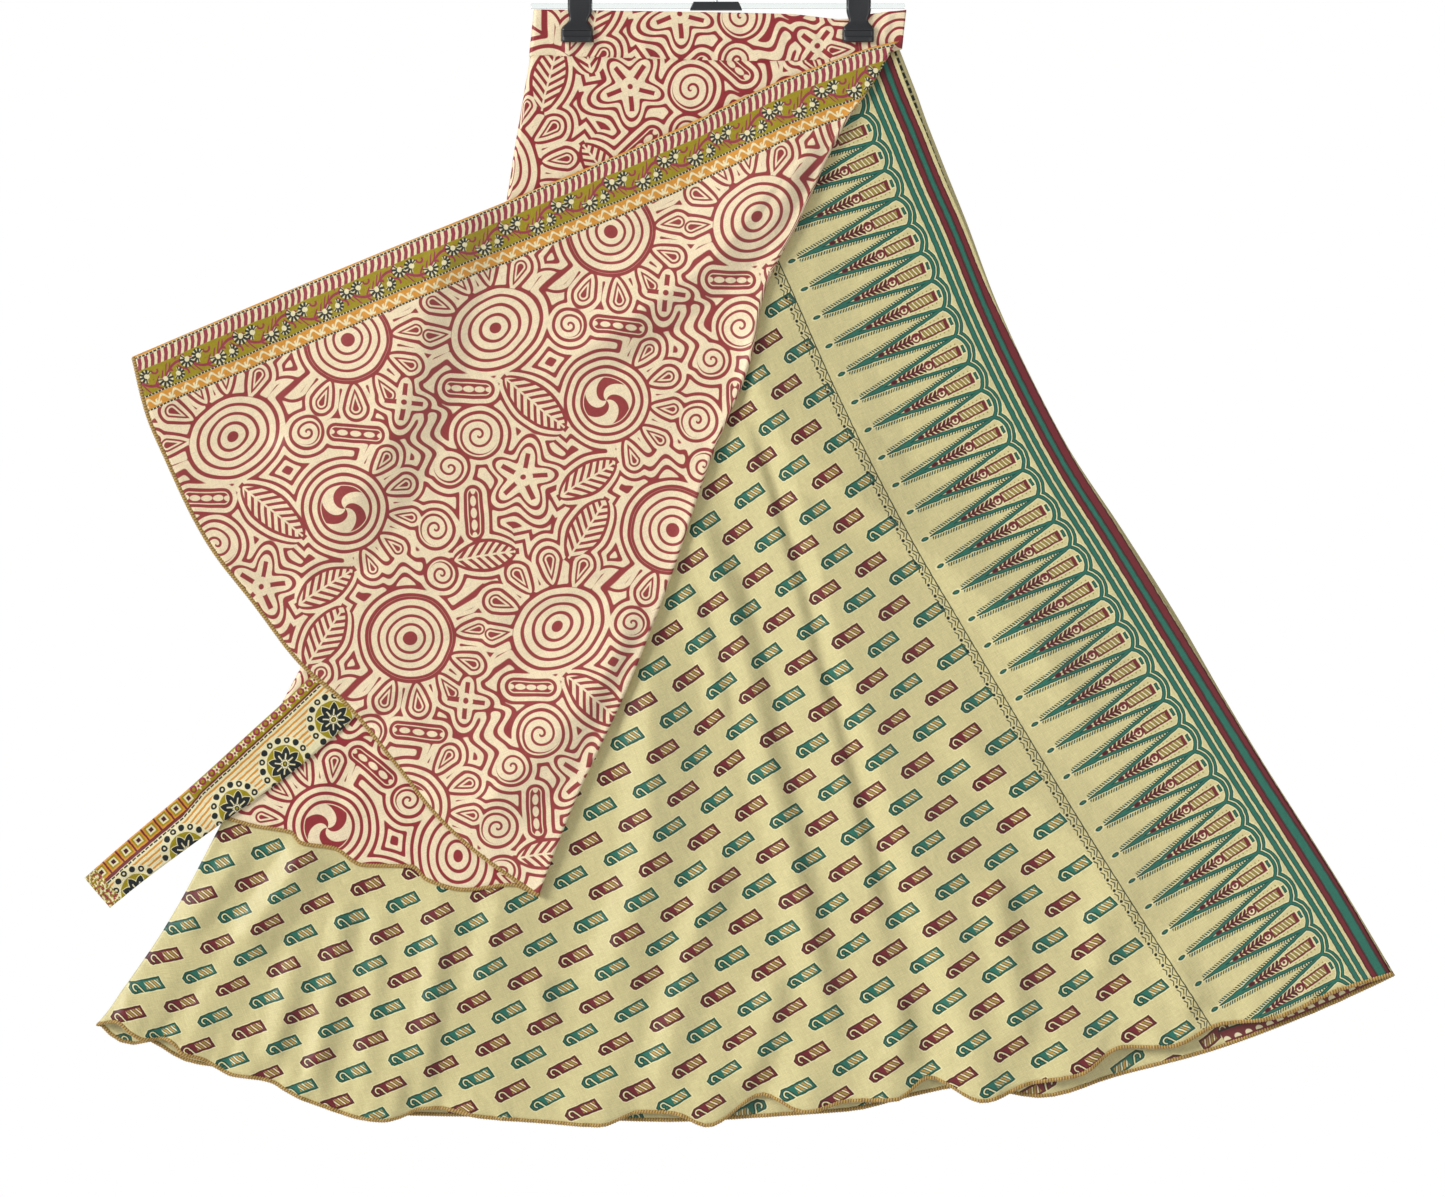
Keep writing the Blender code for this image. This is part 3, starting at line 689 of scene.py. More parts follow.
inks = {
    "teal": (40, 104, 87), "darkTeal": (20, 64, 54), "maroon": (108, 35, 41),
    "darkMaroon": (70, 25, 28), "sand": (205, 194, 142), "halo": (222, 212, 162),
    "cream": (228, 218, 176), "gold": (194, 146, 66), "olive": (150, 132, 62),
    "leaf": (150, 134, 2), "black": (24, 32, 32), "orange": (207, 141, 46),
    "doodle": (143, 45, 50), "vine": (146, 44, 66), "doodleCream": (234, 215, 180),
    "line": (62, 66, 44),
}


def boxShape(x, y, halfX, halfY):
    # Box about the origin: the greater of its distances across and up.
    return (abs(x) - halfX).most(abs(y) - halfY)


def bar(u, start, end):
    # Stripe from start to end.
    return abs(u - (start + end) / 2) - (end - start) / 2


def stripes(u, ends):
    # Several stripes: the least of their distances.
    first, *others = [bar(u, *each) for each in ends]
    return first.least(*others)


def hoop(x, y, radius, half):
    # Ring of a radius and a half width.
    return abs(length(x, y) - radius) - half


def segment(x, y, x0, y0, x1, y1, half):
    # Distance to a round-ended stroke from one point to another.
    dx, dy = x1 - x0, y1 - y0
    t = ((x - x0) * (dx / (dx * dx + dy * dy)) + (y - y0) * (dy / (dx * dx + dy * dy))).clamp()
    return length(x - x0 - t * dx, y - y0 - t * dy) - half


tagSizes = {"row": 19.14, "pitch": 43.98, "shift": 20.5, "tilt": 3.4, "own": 2.4, "shrink": 0.91,
            "start": (256.0, 346.0), "frontField": 162.0, "backField": 60.0, "bars": 2.1}


def tags(u, v, field, way=1):
    # Slanted tags in rows that lean a little from straight across, alternate rows in maroon. Each
    # has a hook at one end and a barred window at the other.
    c, s = cos(radians(tagSizes["tilt"])), sin(radians(tagSizes["tilt"]))
    u, v = u - tagSizes["start"][0], v - tagSizes["start"][1]
    p, q = rotated(u, v, tagSizes["tilt"])
    row = (q / tagSizes["row"]).nearest()
    x = (p + row * tagSizes["shift"]).wrap(tagSizes["pitch"] / 2) * -way
    y = row * tagSizes["row"] - q
    # a tag shows only where its middle lies well inside the field, so the border cuts none
    outside = field - tagSizes["start"][0] - (u + x * (way * c) - y * s)
    x, y = (place * tagSizes["shrink"] for place in rotated(x, y, way * tagSizes["own"]))
    body = (y - 4.0).most(-4.4 - y, x + y * 0.12 - 11.6, x * -0.67 + y * 0.75 - 9.5,
                          x * -0.97 - y * 0.23 - 12.9, x * -0.6 - y * 0.8 - 10.1)
    hook = hoop(x + 8.0, y + 0.5, 2.2, 0.6).most((x + 8.6).least(-1.0 - y))
    channel = segment(x, y, -5.6, -0.4, -3.5, -5.2, 0.6)
    window = boxShape(x - 4.4, y + 0.2, 5.1, 2.5)
    bars = tagSizes["bars"]
    phase = (x + y * 0.6) / bars
    light = window.most(abs(phase.wrap(1.0)) * bars - 0.42, outside)
    warm = window.most(abs((phase + 1.0).wrap(1.0)) * bars - 0.6)
    odd = (row * 0.5 - (row * 0.5).floor()) * 4 - 1
    body = body.most(-hook, -channel, outside)
    rim = body.most(-(body + 0.7))
    return [
        (body - 0.7, "halo"), (body.most(odd), "teal"), (body.most(-odd), "maroon"),
        (rim.most(odd), "darkTeal"), (rim.most(-odd), "darkMaroon"), (light, "cream"),
        (warm.most(outside), "gold"), (warm.most(-odd, outside), "olive"),
    ]


spikes = {
    "pitch": 24.285, "phase": 72.8, "notch": 42.5, "merge": 118.0, "tip": 136.0, "chain": 151.0,
    "scallop": 51.85, "window": 56.4, "heart": 72.6, "barbs": (76.5, 100.0), "bud": 104.4,
    "drop": 141.0, "tealStripes": [(19.9, 23.8), (25.9, 30.0)], "darkStripe": (12.2, 17.0),
    "outerStripe": 7.9, "rollsFrom": 450.0, "rollsOver": 330.0, "rollsBy": 3.2, "link": 5.03,
    "bars": 1.75,
}


def temple(u, v):
    # Border of spikes between the edge's stripes and a fine chain.
    half = spikes["pitch"] / 2
    w = (v - spikes["phase"]).wrap(half)
    aw = abs(w)
    notch, merge, tip = spikes["notch"], spikes["merge"], spikes["tip"]
    far = length(u - spikes["scallop"], w)
    inner = (abs(far - 15.2) - 1.4).most(u - 44)
    outer = (abs(far - 19.0) - 1.2).most(u - 40)
    slope = (merge + 2 - u) * (half / (merge + 2 - notch))
    line = (abs(aw - slope) - 1.3).most(u - merge - 1, notch - 2 - u)
    reach = (tip - u) * (1.9 / (tip - merge)) + 0.3
    point = (aw - reach).most(merge - 4 - u, u - tip)
    side = aw - slope.most(reach)
    hairs = (side - 3.1).most(0.8 - side, (u - side * 0.7).pingpong(1.15) - 0.48,
                              u - tip + 1, notch + 5 - u)
    oval = length((u - spikes["drop"]) / 2.1, w) - 1.4
    dash = boxShape(u - 40.9, w, 1.15, 3.0)
    window = boxShape(u - spikes["window"], w, 12.6, 4.3)
    pane = boxShape(u - spikes["window"] - 0.8, w, 10.2, 2.8)
    bars = spikes["bars"]
    phase = (u + w * 0.4) / bars
    paneLight = pane.most(abs(phase.wrap(1.0)) * bars - 0.45)
    paneWarm = pane.most(abs((phase + 1.0).wrap(1.0)) * bars - 0.8)
    heart = length(u - spikes["heart"], w) - 4.0
    hook = hoop(u - spikes["heart"] - 0.2, w - 0.3, 1.9, 0.5).most(-w - 0.8)
    start, end = spikes["barbs"]
    taper = (end - u) * 0.09 + 2.2
    barbs = (aw - taper).most(bar(u, start, end), (u + aw * 0.9).pingpong(2.0) - 1.35)
    stem = (aw - 0.6).most(bar(u, start - 1, end + 0.5))
    bud = length((u - spikes["bud"]) / 1.8, w) - 1.6
    dots = (length(u.wrap(1.9), aw - 6.2) - 0.45).most(bar(u, 44, 74), aw - slope + 2.2)
    # towards the hem the edge has rolled, so the outer dark stripe gives way to the teal one
    rolled = ((v - spikes["rollsFrom"]) / spikes["rollsOver"]).clamp() * spikes["rollsBy"]
    teal = line.least(point, inner, outer, dash, oval, stripes(u, spikes["tealStripes"]),
                      (spikes["outerStripe"] - rolled - u).most(u - 12.0))
    widens = ((v - 190.0) / 70).clamp() * 2.0
    dark = (3.0 - widens - u).most(u - spikes["outerStripe"] + 0.2 + rolled)
    dark = dark.least(bar(u, *spikes["darkStripe"]))
    red = window.least(heart, barbs, stem, bud)
    # chain: a line, a zigzag that touches it, dots at the zigzag's far turns, chevrons between
    w, link = u - spikes["chain"], spikes["link"]
    z = abs(v.wrap(link))
    zig = (abs(w - z * 0.76) - 0.4).most(w - 4.2)
    spot = length(w - 6.4, (v + link).wrap(link)) - 1.15
    chevrons = (abs((w - z * 0.6 - 2.8).wrap(1.6)) - 0.42).most(z - 2.9, w - 8.6)
    links = zig.least(abs(w) - 0.38, chevrons.most(z * 0.76 + 0.9 - w))
    return [
        ((teal.least(red) - 0.8).most(31.5 - u), "halo"), (hairs, "darkTeal"), (teal, "teal"),
        (teal.most(-teal - 0.42), "darkTeal"), (dark, "maroon"),
        (dark.most(-dark - 0.8), "darkMaroon"), (red, "maroon"), (pane, "darkMaroon"),
        (paneLight, "cream"), (paneWarm, "olive"), (barbs.least(bud) + 0.5, "darkMaroon"),
        (hook, "cream"), (dots, "olive"), (links, "line"), (spot, "black"),
    ]


def backBorder(u, v):
    # Edge of the back panel, another part of the same old cloth: dashes, dark scallops, stripes,
    # and half moons on a dark band along its hem.
    dashes = boxShape(u - 4.2, v.wrap(3.3), 1.0, 2.3)
    scallop = length(u - 26.0, v.wrap(7.5)) - 6.0
    dark = bar(u, 8.0, 26.0)
    drops = length((u - 14.5) * 0.6, (v - 7.5).wrap(7.5)) - 2.0
    bend, lean, level = hemBand
    low = v - level - u * lean - u * u * bend
    shown = u - hemBandEnds
    moons = (length(u.wrap(4.6), low - 8.6) - 2.7).most(low - 9.0, shown)
    return [
        (dashes.least(bar(u, 29.5, 30.4)), "black"), (dark, "maroon"),
        (scallop.most(dark), "cream"), (abs(scallop).most(dark) - 0.5, "darkMaroon"),
        (drops, "cream"), (stripes(u, [(33.0, 37.0), (40.0, 41.6)]), "teal"),
        ((-low).most(shown), "maroon"), ((abs(low) - 0.6).most(shown), "black"), (moons, "cream"),
    ]


def bloom(u, v, x, y, turn, step, size):
    # Half-open flower on the vine: dark petals from a pale heart, cream behind them.
    a, b = rotated((v - x).wrap(step), u - y, turn)
    r, angle = length(a, b), b.angle(a)
    near = angle.wrap(radians(19)) * r
    fan = (abs(angle) - 1.95) * 3.0
    dark = (abs(near) - 0.75).most(r - 6.6 * size, 2.2 - r, fan)
    pale = (r - 5.9 * size).most(fan - 0.3).least(r - 2.1)
    return pale, dark


flapBands = {
    "edge": (-2.0, 0.9), "dashes": (1.6, 2.6), "candy": (3.2, 13.2), "olive": (13.4, 33.6),
    "lowDashes": [(34.0, 35.1), (45.2, 46.2)], "orange": (35.6, 44.8), "ends": 46.2,
    "candyHalf": 2.95, "vineMiddle": 23.6, "vineSwing": 6.0, "vineStep": 47.0,
    "curls": (40.6, 5.6), "flowers": [
        # along, across, turn and size
        (3, 27.4, 100, 1.0), (17, 20.0, -35, 0.85), (27, 19.2, 60, 0.95), (38, 27.0, 150, 0.8),
    ],
}


def flapBorder(u, v):
    # Edge of the short layer: candy bars, a vine of flowers on olive, and scrolls on orange.
    slant = (v - u * 0.35 - abs(u - 8) * 0.15).wrap(flapBands["candyHalf"])
    candy = bar(u, *flapBands["candy"]).most(abs(slant) - 1.4)
    dashes = bar(u, *flapBands["dashes"]).most(abs(v.wrap(1.7)) - 1.0)
    dashes = dashes.least(stripes(u, flapBands["lowDashes"]).most(abs(v.wrap(1.4)) - 0.8))
    olive, orange = bar(u, *flapBands["olive"]), bar(u, *flapBands["orange"])
    step = flapBands["vineStep"]
    way = v * (2 * pi / step)
    offset = u - flapBands["vineMiddle"] - way.sine() * flapBands["vineSwing"]
    stem = abs(offset) * 0.85 - 0.8
    twigs = ((v + abs(offset) * 0.9).pingpong(2.6) - 0.8).most(
        abs(offset) - 5.6, ((way * 2 + 0.6).sine() + 0.7) * -3)
    side = hoop((v - 33).wrap(step / 2), u - 28.5, 4.0, 0.6).most(u - 30)
    knot = hoop((v - 9).wrap(step / 2), u - 17.5, 2.6, 0.6).most(17.0 - u)
    vines = stem.least(twigs, side, knot).most(olive)
    flowers = [bloom(u, v, x, y, turn, step / 2, size) for x, y, turn, size in flapBands["flowers"]]
    pale, dark = (first.least(*others) for first, *others in zip(*flowers))
    middle, pitch = flapBands["curls"]
    turns = v.wrap(pitch)
    curl = hoop(u - middle, turns, 2.5, 0.55).most(-(u - middle + 1.2).least(turns + 1.0))
    wave = abs(u - middle + 0.2 - (v * (pi / pitch)).sine() * 2.6) * 0.6 - 0.45
    return [
        (candy, "vine"), (olive, "leaf"), (vines, "vine"), (pale.most(olive), "cream"),
        (dark.most(olive), "black"), (orange, "orange"), (curl.least(wave).most(orange), "cream"),
        (dashes, "black"), (bar(u, *flapBands["edge"]), "orange"),
    ]


tieSizes = {"medallions": 53.0, "last": 27.0, "centre": 38.5, "blocks": 112.0, "patch": 12.0,
            "strip": 8.4, "block": 6.7, "beads": 19.4}


def tiePrint(x, t):
    # x is in from the tie's upper edge, t is back from its end: a floral strip that turns into
    # square blocks and widens, dashes, pinstripes and a row of medallions.
    wider = ((tieSizes["blocks"] + 8 - t) / 26).clamp() * 4.6
    strip = (x - wider - tieSizes["strip"]).most(-3.0 - x)
    small = length(t.wrap(5.0), x - 4.0)
    leafy = (small - 2.4 - ((x - 4.0).angle(t.wrap(5.0)) * 5).sine() * 0.9).most(strip)
    between = hoop((t - 5.0).wrap(5.0), x - 3.2, 2.3, 0.75).most(strip)
    blocks = strip.most(t - tieSizes["blocks"])
    square = abs(t.wrap(tieSizes["block"])).most(abs(x - 5.8))
    x2 = x - wider
    pins = (abs((x2 - 14.2).wrap(2.1)) - 0.72).most(bar(x2, 12.6, 40.0))
    mt = (t - tieSizes["last"]).wrap(tieSizes["medallions"] / 2)
    mx = x - tieSizes["centre"]
    r, angle = length(mx, mt), mx.angle(mt)
    disc = r - 15.2
    near = abs(angle.wrap(pi / 8) * r)
    fat = 3.3 - (r - 8.3) * (r - 8.3) * 0.1
    petal = (near - fat).most(2.4 - r)
    rim = tieSizes["beads"]
    spot, other = (length((angle * (count / (2 * pi))).wrap(0.5) * (2 * pi * rim / count), r - rim)
                   for count in (16, 8))
    patch = t - tieSizes["patch"]
    mosaic = (noise(x * 0.42, t * 0.42, 3.0) - 0.5) * 9.0
    return [
        (strip, "leaf"), (leafy, "cream"), ((small - 1.0).most(strip), "vine"), (between, "vine"),
        (blocks, "maroon"), *(((square - half).most(blocks), name) for half, name in (
            (5.8, "orange"), (4.4, "leaf"), (3.0, "cream"), (1.6, "darkMaroon"))),
        (bar(x2, 8.4, 9.8), "maroon"), (bar(x2, 10.5, 11.6).most(abs(t.wrap(2.3)) - 1.6), "black"),
        (pins, "orange"), (r - 22.4, "cream"), (disc, "leaf"),
        ((petal - 0.8).most(disc + 0.5), "cream"), (petal.most(disc + 1.2), "black"),
        ((near - 0.45).most(bar(r, 3.5, 8.5)), "cream"),
        (r - 2.9, "cream"), (r - 2.0, "black"), (r - 1.1, "leaf"), (spot - 2.5, "black"),
        (other - 0.9, "cream"), (patch, "leaf"), ((mosaic + 0.5).most(patch), "cream"),
        ((0.6 - mosaic).most(patch), "vine"),
    ]


cloths = {
    # ground colour, how soft the print's edges are and how far they spread, and the wobble of
    # its lines and their size
    "doodle": {"ground": "doodleCream", "soft": 0.45, "bold": 0.24, "wobble": 1.9,
               "wobbleSize": 34.0},
    "long": {"ground": "sand", "soft": 0.4, "bold": 0.12, "wobble": 0.5, "wobbleSize": 5.0},
    "tie": {"ground": "cream", "soft": 0.4, "bold": 0.1, "wobble": 0.6, "wobbleSize": 6.0},
    "slub": 0.34, "grain": 0.42, "roughness": 0.46, "slubGloss": 0.25, "specular": 0.32,
    "sheen": 0.12, "sheenRoughness": 0.4, "reversePaler": 0.03, "reverseColour": (214, 200, 164),
    "threadBump": 0.3, "threadDepth": 0.0002, "crumpleBump": 0.35, "crumpleDepth": 0.004,
}


def doodleLayers(u, v):
    # The doodle alone, drawn larger by its growth.
    grow = doodleCell["grow"]
    return [(doodle(u / grow, v / grow) * grow, "doodle")]


def shortLayers(u, v):
    # The doodle, and the border over its edge.
    edge = u - flapBands["ends"]
    return (doodleLayers(u, v) + [(edge, "cream")]
            + [(shape.most(edge), name) for shape, name in flapBorder(u, v)])


def longLayers(u, v):
    # The front's field of tags, and the border of spikes.
    return tags(u, v, tagSizes["frontField"]) + temple(u, v)


def backLayers(u, v):
    # The back's field of tags, turned the other way, and its own border.
    return tags(u, v, tagSizes["backField"], -1) + backBorder(u, v)


def printGroup(name, kind, layersOf):
    # Node group that turns a place on the cloth, in mm, into the printed colour there: each shape
    # is a distance in mm, dark where it is below zero, laid over the ones before it.
    tree = bpy.data.node_groups.new(name, "ShaderNodeTree")
    for socket in ("Across", "Along"):
        tree.interface.new_socket(socket, in_out="INPUT", socket_type="NodeSocketFloat")
    tree.interface.new_socket("Colour", in_out="OUTPUT", socket_type="NodeSocketColor")
    start, end = tree.nodes.new("NodeGroupInput"), tree.nodes.new("NodeGroupOutput")
    u, v = Signal(tree, start.outputs[0]), Signal(tree, start.outputs[1])
    own = cloths[kind]
    size, swing = own["wobbleSize"], 2 * own["wobble"]
    wobbledU = u + (noise(u / size, v / size, 1.0) - 0.5) * swing
    wobbledV = v + (noise(u / size + 9.0, v / size, 1.0) - 0.5) * swing
    colour = linear(inks[own["ground"]])
    for shape, name in layersOf(wobbledU, wobbledV):
        mask = shape.math("MULTIPLY_ADD", -1 / own["soft"], 0.5 + own["bold"] / own["soft"],
                          clamped=True)
        colour = mixed(tree, mask, colour, linear(inks[name]))
    tree.links.new(colour, end.inputs[0])
    return tree


def newMaterial(name, values):
    # A material, its node tree and its shader, with the constant values set on the shader.
    material = bpy.data.materials.new(name)
    material.use_nodes = True
    tree = material.node_tree
    return material, tree, fill(tree, tree.nodes["Principled BSDF"], values)


def printPlace(tree):
    # The UV map's two places.
    uv = addNode(tree, "UVMap", uv_map="print")
    split = addNode(tree, "SeparateXYZ", {0: uv.outputs[0]})
    return Signal(tree, split.outputs[0]), Signal(tree, split.outputs[1])


def bumped(tree, height, strength, depth, **normal):
    # Normal over a height from 0 to 1 that stands depth metres high.
    return addNode(tree, "Bump", {"Strength": strength, "Distance": depth, "Height": height,
                                  **normal}).outputs[0]


def clothMaterial(name, group, reverse=False):
    # Printed silk: slubs and grain along both threads vary its shade, gloss and bump.
    material, tree, shader = newMaterial(name, {
        "Sheen Weight": cloths["sheen"], "Sheen Roughness": cloths["sheenRoughness"],
        "Specular IOR Level": cloths["specular"]})
    u, v = (place * 1000.0 for place in printPlace(tree))
    colour = addNode(tree, "Group", {0: u, 1: v}, node_tree=group).outputs[0]
    if reverse:
        colour = mixed(tree, cloths["reversePaler"], colour, linear(cloths["reverseColour"]))
    slub = noise(u * 1.1, v * 0.12) + noise(u * 0.14 + 40.0, v * 1.2) - 1.0
    grain = noise(u * 2.1, v * 1.3 + 70.0, 1.0) - 0.5
    shade = slub * cloths["slub"] + grain * cloths["grain"] + 1.0
    shaded = addNode(tree, "VectorMath", {0: colour, "Scale": shade}, operation="SCALE")
    crumple = noise(u / 26, v / 38, 3.0) + noise(u / 9, v / 16, 2.0) * 0.3
    # the folds' lean tips the normal further than their height alone, the same on both faces
    facing = addNode(tree, "NewGeometry").outputs["Normal"]
    outward = -Signal(tree, addNode(tree, "SeparateXYZ", {0: facing}).outputs[1])
    lean = addNode(tree, "Attribute", attribute_name="lean").outputs["Vector"]
    tipped = addNode(tree, "VectorMath", {0: lean, 1: outward, 2: facing},
                     operation="MULTIPLY_ADD")
    normal = addNode(tree, "VectorMath", {0: tipped.outputs[0]}, operation="NORMALIZE").outputs[0]
    normal = bumped(tree, crumple, cloths["crumpleBump"], cloths["crumpleDepth"], Normal=normal)
    normal = bumped(tree, slub + grain, cloths["threadBump"], cloths["threadDepth"], Normal=normal)
    fill(tree, shader, {"Base Color": shaded.outputs[0], "Normal": normal,
                        "Roughness": slub * cloths["slubGloss"] + cloths["roughness"]})
    return material


columns = {"back": 90, "left": 84, "right": 126, "flap": 190, "turn": 7}
back = fan(sideLine, backOpenLine, shortBackHem, backHem, lambda a, d: -backOut(a, d),
           columns["back"])
left = fan(sideLine, foldLine, shortHem, frontHem, frontOut, columns["left"])
right = fan(foldLine, openLine, shortBackHem, frontHem, frontOut, columns["right"])

# Curve in the print's own place that runs above the back panel's hem by the width of its band.
# The band is drawn as far in from the open edge as hemBandEnds.
hemBandEnds, hemBandWidth, hemBandFitted = 150.0, 13.0, 170
hemPlace = np.stack(longPrint(back[0][-1], back[1][-1]))
hemPlace[0] += through(backPeek, back[1][-1])
hemBand = np.polyfit(*hemPlace[:, hemPlace[0] < hemBandFitted], 2) - (0, 0, hemBandWidth)

groups = {
    kind: printGroup(name + " print", cloth, layers) for kind, name, cloth, layers in [
        ("long", "long layer", "long", longLayers), ("back", "back panel", "long", backLayers),
        ("short", "short layer", "doodle", shortLayers),
        ("band", "waistband", "doodle", doodleLayers), ("tie", "tie", "tie", tiePrint)]
}
finishes = {
    "band": clothMaterial("waistband cloth", groups["band"]),
    "tie": clothMaterial("tie cloth", groups["tie"]),
}
for kind, name in (("long", "long layer"), ("back", "back panel"), ("short", "short layer")):
    finishes[kind] = clothMaterial(name + " face", groups[kind])
    finishes[kind + "Reverse"] = clothMaterial(name + " reverse", groups[kind], reverse=True)
print("prints and cloth finishes made")


def placesOf(printOf, across, down):
    # Print places as one array, (across, along) last.
    return np.stack(printOf(across, down), axis=-1)


def buildLongLayer():
    # Back panel, half-round side fold and front panel, side by side in one grid.
    steps = columns["turn"]
    backPoints = back[2][:, ::-1]
    backUv = placesOf(longPrint, back[0][:, ::-1], back[1][:, ::-1])
    backUv[..., 0] += through(backPeek, back[1][:, ::-1])
    leftUv, rightUv = (placesOf(longPrint, part[0], part[1]) for part in (left, right))
    backLean = -leanOf(back[0], back[1], ridges(backFolds, back[0], back[1]) * form["foldLean"])
    leftLean, rightLean = (leanOf(a, d, frontFolded(a, d) * form["foldLean"])
                           for a, d, _ in (left, right))
    side = roundFold(backPoints[:, -1], left[2][:, 0],
                     (left[2][:, 0, 1] - backPoints[:, -1, 1]) / 2, steps)
    sideUv = blendColumns(backUv[:, -1], leftUv[:, 0], steps)
    sideLean = blendColumns(backLean[:, 0], leftLean[:, 0], steps)
    grid, prints, lean = (np.concatenate(stretches, axis=1) for stretches in (
        (backPoints, side, left[2], right[2][:, 1:]), (backUv, sideUv, leftUv, rightUv[:, 1:]),
        (backLean[:, ::-1], sideLean, leftLean, rightLean[:, 1:])))
    panels = np.zeros(grid.shape[1] - 1, int)
    panels[:columns["back"] + steps // 2 - 1] = 1
    return grid, addCloth("long_layer_cloth", grid, prints,
                          ["long", "back", "longReverse", "backReverse"], form["clothWall"],
                          panels, lean)


def buildShortLayer():
    # The same round the short layer, with the flap folded back over its front.
    step, upper, steps = form["plyStep"] * mm, form["upperRows"], columns["turn"]
    backPoints = (back[2][:upper] + np.array([0, step, 0]))[:, ::-1]
    front = left[2][:upper] + np.array([0, -step, 0])
    backPoints[:, 0, 0] -= form["shortEdgeInset"] * mm
    backUv = placesOf(shortBackPrint, back[0][:upper, ::-1], back[1][:upper, ::-1])
    frontUv = placesOf(shortPrint, left[0][:upper], left[1][:upper])
    outBy = (backPoints[:, -1, 1] - front[:, 0, 1]) / 2
    outBy = outBy + (form["foldSideStep"] - form["plyStep"]) * mm
    side = roundFold(backPoints[:, -1], front[:, 0], -outBy, steps)
    sideUv = blendColumns(backUv[:, -1], frontUv[:, 0], steps)

    # the flap: rows run from the fold to its upper edge, its last row along the hem
    rows, shares = np.linspace(0, 1, upper), np.linspace(0, 1, columns["flap"])
    start = front[:, -1][:, [0, 2]] / mm * (1, -1)
    end, hem = along(flapEdge, rows), along(flapHem, shares)
    s, v = shares[None, :, None], rows[:, None, None]
    straight = start[:, None] * (1 - s) + end[:, None] * s
    plan = straight + (hem - straight[-1])[None] * v ** 1.5
    across, down = plan[..., 0], plan[..., 1]
    flap = pointsOn(across, down, flapOut(across, down))
    flapUv = placesOf(flapPrint, across, down)
    own, swell, _ = flapFolded(across, down)
    flapLean = leanOf(across, down, own * form["flapFoldLean"] + swell)
    fold = roundFold(front[:, -1], flap[:, 0], (front[:, -1, 1] - flap[:, 0, 1]) / 2, steps)
    foldUv = blendColumns(frontUv[:, -1], flapUv[:, 0], steps)
    grid = np.concatenate([backPoints, side, front, fold, flap], axis=1)
    prints = np.concatenate([backUv, sideUv, frontUv, foldUv, flapUv], axis=1)
    lean = np.concatenate([0 * grid[:, :-columns["flap"]], flapLean], axis=1)
    return grid, addCloth("short_layer_cloth", grid, prints, ["short", "shortReverse"],
                          form["clothWall"], lean=lean)


band = {
    "frontPoints": 170, "bendPoints": 9, "rows": 22, "slantReach": 60.0, "printShift": (60, 40),
    "ripples": (23, 0.15, 0.3), "lowRipples": (9, 0.1, 0.25),
    # gathers: height, reach on either side and the places each runs through
    "folds": [
        (1.3, 3, 4, [(118, 74), (130, 92), (133, 108)]),
        (1.1, 3, 3, [(104, 78), (122, 96), (128, 108)]),
        (1.0, 3, 3, [(142, 74), (138, 92), (138, 108)]), (0.8, 4, 4, [(52, 88), (49, 112)]),
        (0.7, 3, 4, [(-58, 92), (-60, 112)]), (0.8, 4, 3, [(-118, 84), (-122, 110)]),
        (-0.7, 3, 3, [(84, 84), (90, 112)]), (0.6, 3, 3, [(4, 96), (6, 113)]),
    ],
    # rows of stitching: share of the way down, reach and depth
    "stitching": [(0.97, 0.03, 0.5), (0.03, 0.04, 0.3)],
}


def buildBand():
    # Flat loop of folded cloth: front, round fold at one end, back, open at the other.
    half = form["hollowAtWaist"] / 2 + form["bandWall"] / 2
    start, end = bandEnds
    frontX = np.linspace(start, end, band["frontPoints"])
    bend = [(start - half * sin(a), -half * cos(a))
            for a in np.linspace(0, pi, band["bendPoints"])][1:-1]
    path = [(x, -half) for x in frontX[::-1]] + bend + [(x, half) for x in frontX]
    x, out = np.array(path).T
    share = np.linspace(0, 1, band["rows"])[:, None]
    top, low = through(bandTop, x), through(bandSeam, x)
    down = top + (low - top) * share
    reach = band["slantReach"]
    across = x + share * (bandSlants[0] * ease((start + reach - x) / reach)
                          + bandSlants[1] * ease((x - end + reach) / reach))
    gathers = (ridges(band["folds"], across, down) + waves(across, down, [band["ripples"]])
               + waves(across, down, [band["lowRipples"]]) * share ** 3)
    stitched = sum(np.exp(-((share - at) / wide) ** 2) * deep
                   for at, wide, deep in band["stitching"])
    faces = out + np.sign(out) * (np.abs(out) / half) ** 4 * (gathers - stitched)
    grid = pointsOn(across, down, faces)
    prints = placesOf(shortPrint, across, down) + np.array(band["printShift"])
    return grid, addCloth("waistband_cloth", grid, prints, ["band"], form["bandWall"])


# Ties: across, down and width at places along the middle.
frontTie = [
    (114, 116, 14), (88, 148, 28), (36, 215, 44), (-74, 362, 49), (-202, 520, 49), (-322, 640, 49),
    (-353, 668, 48), (-419, 722, 39), (-476, 767, 34), (-507, 793, 32),
]
backTie = [
    (128, 116, 16), (112, 136, 34), (70, 215, 47), (0, 380, 49), (-60, 560, 49), (-95, 720, 48),
    (-120, 880, 40), (-122, 945, 32),
]
tieWaves = {"points": 300, "lanes": 21, "sets": [(60, 0.9, 0.9), (24, 0.8, 0.3)], "rest": 0.9,
            "cup": 0.8, "cupTurns": 1.4, "cupLength": 60,
            # how far from its end a tie is loose, and over what length it settles: back, front
            "loose": {-1: (700, 200), 1: (250, 90)}}


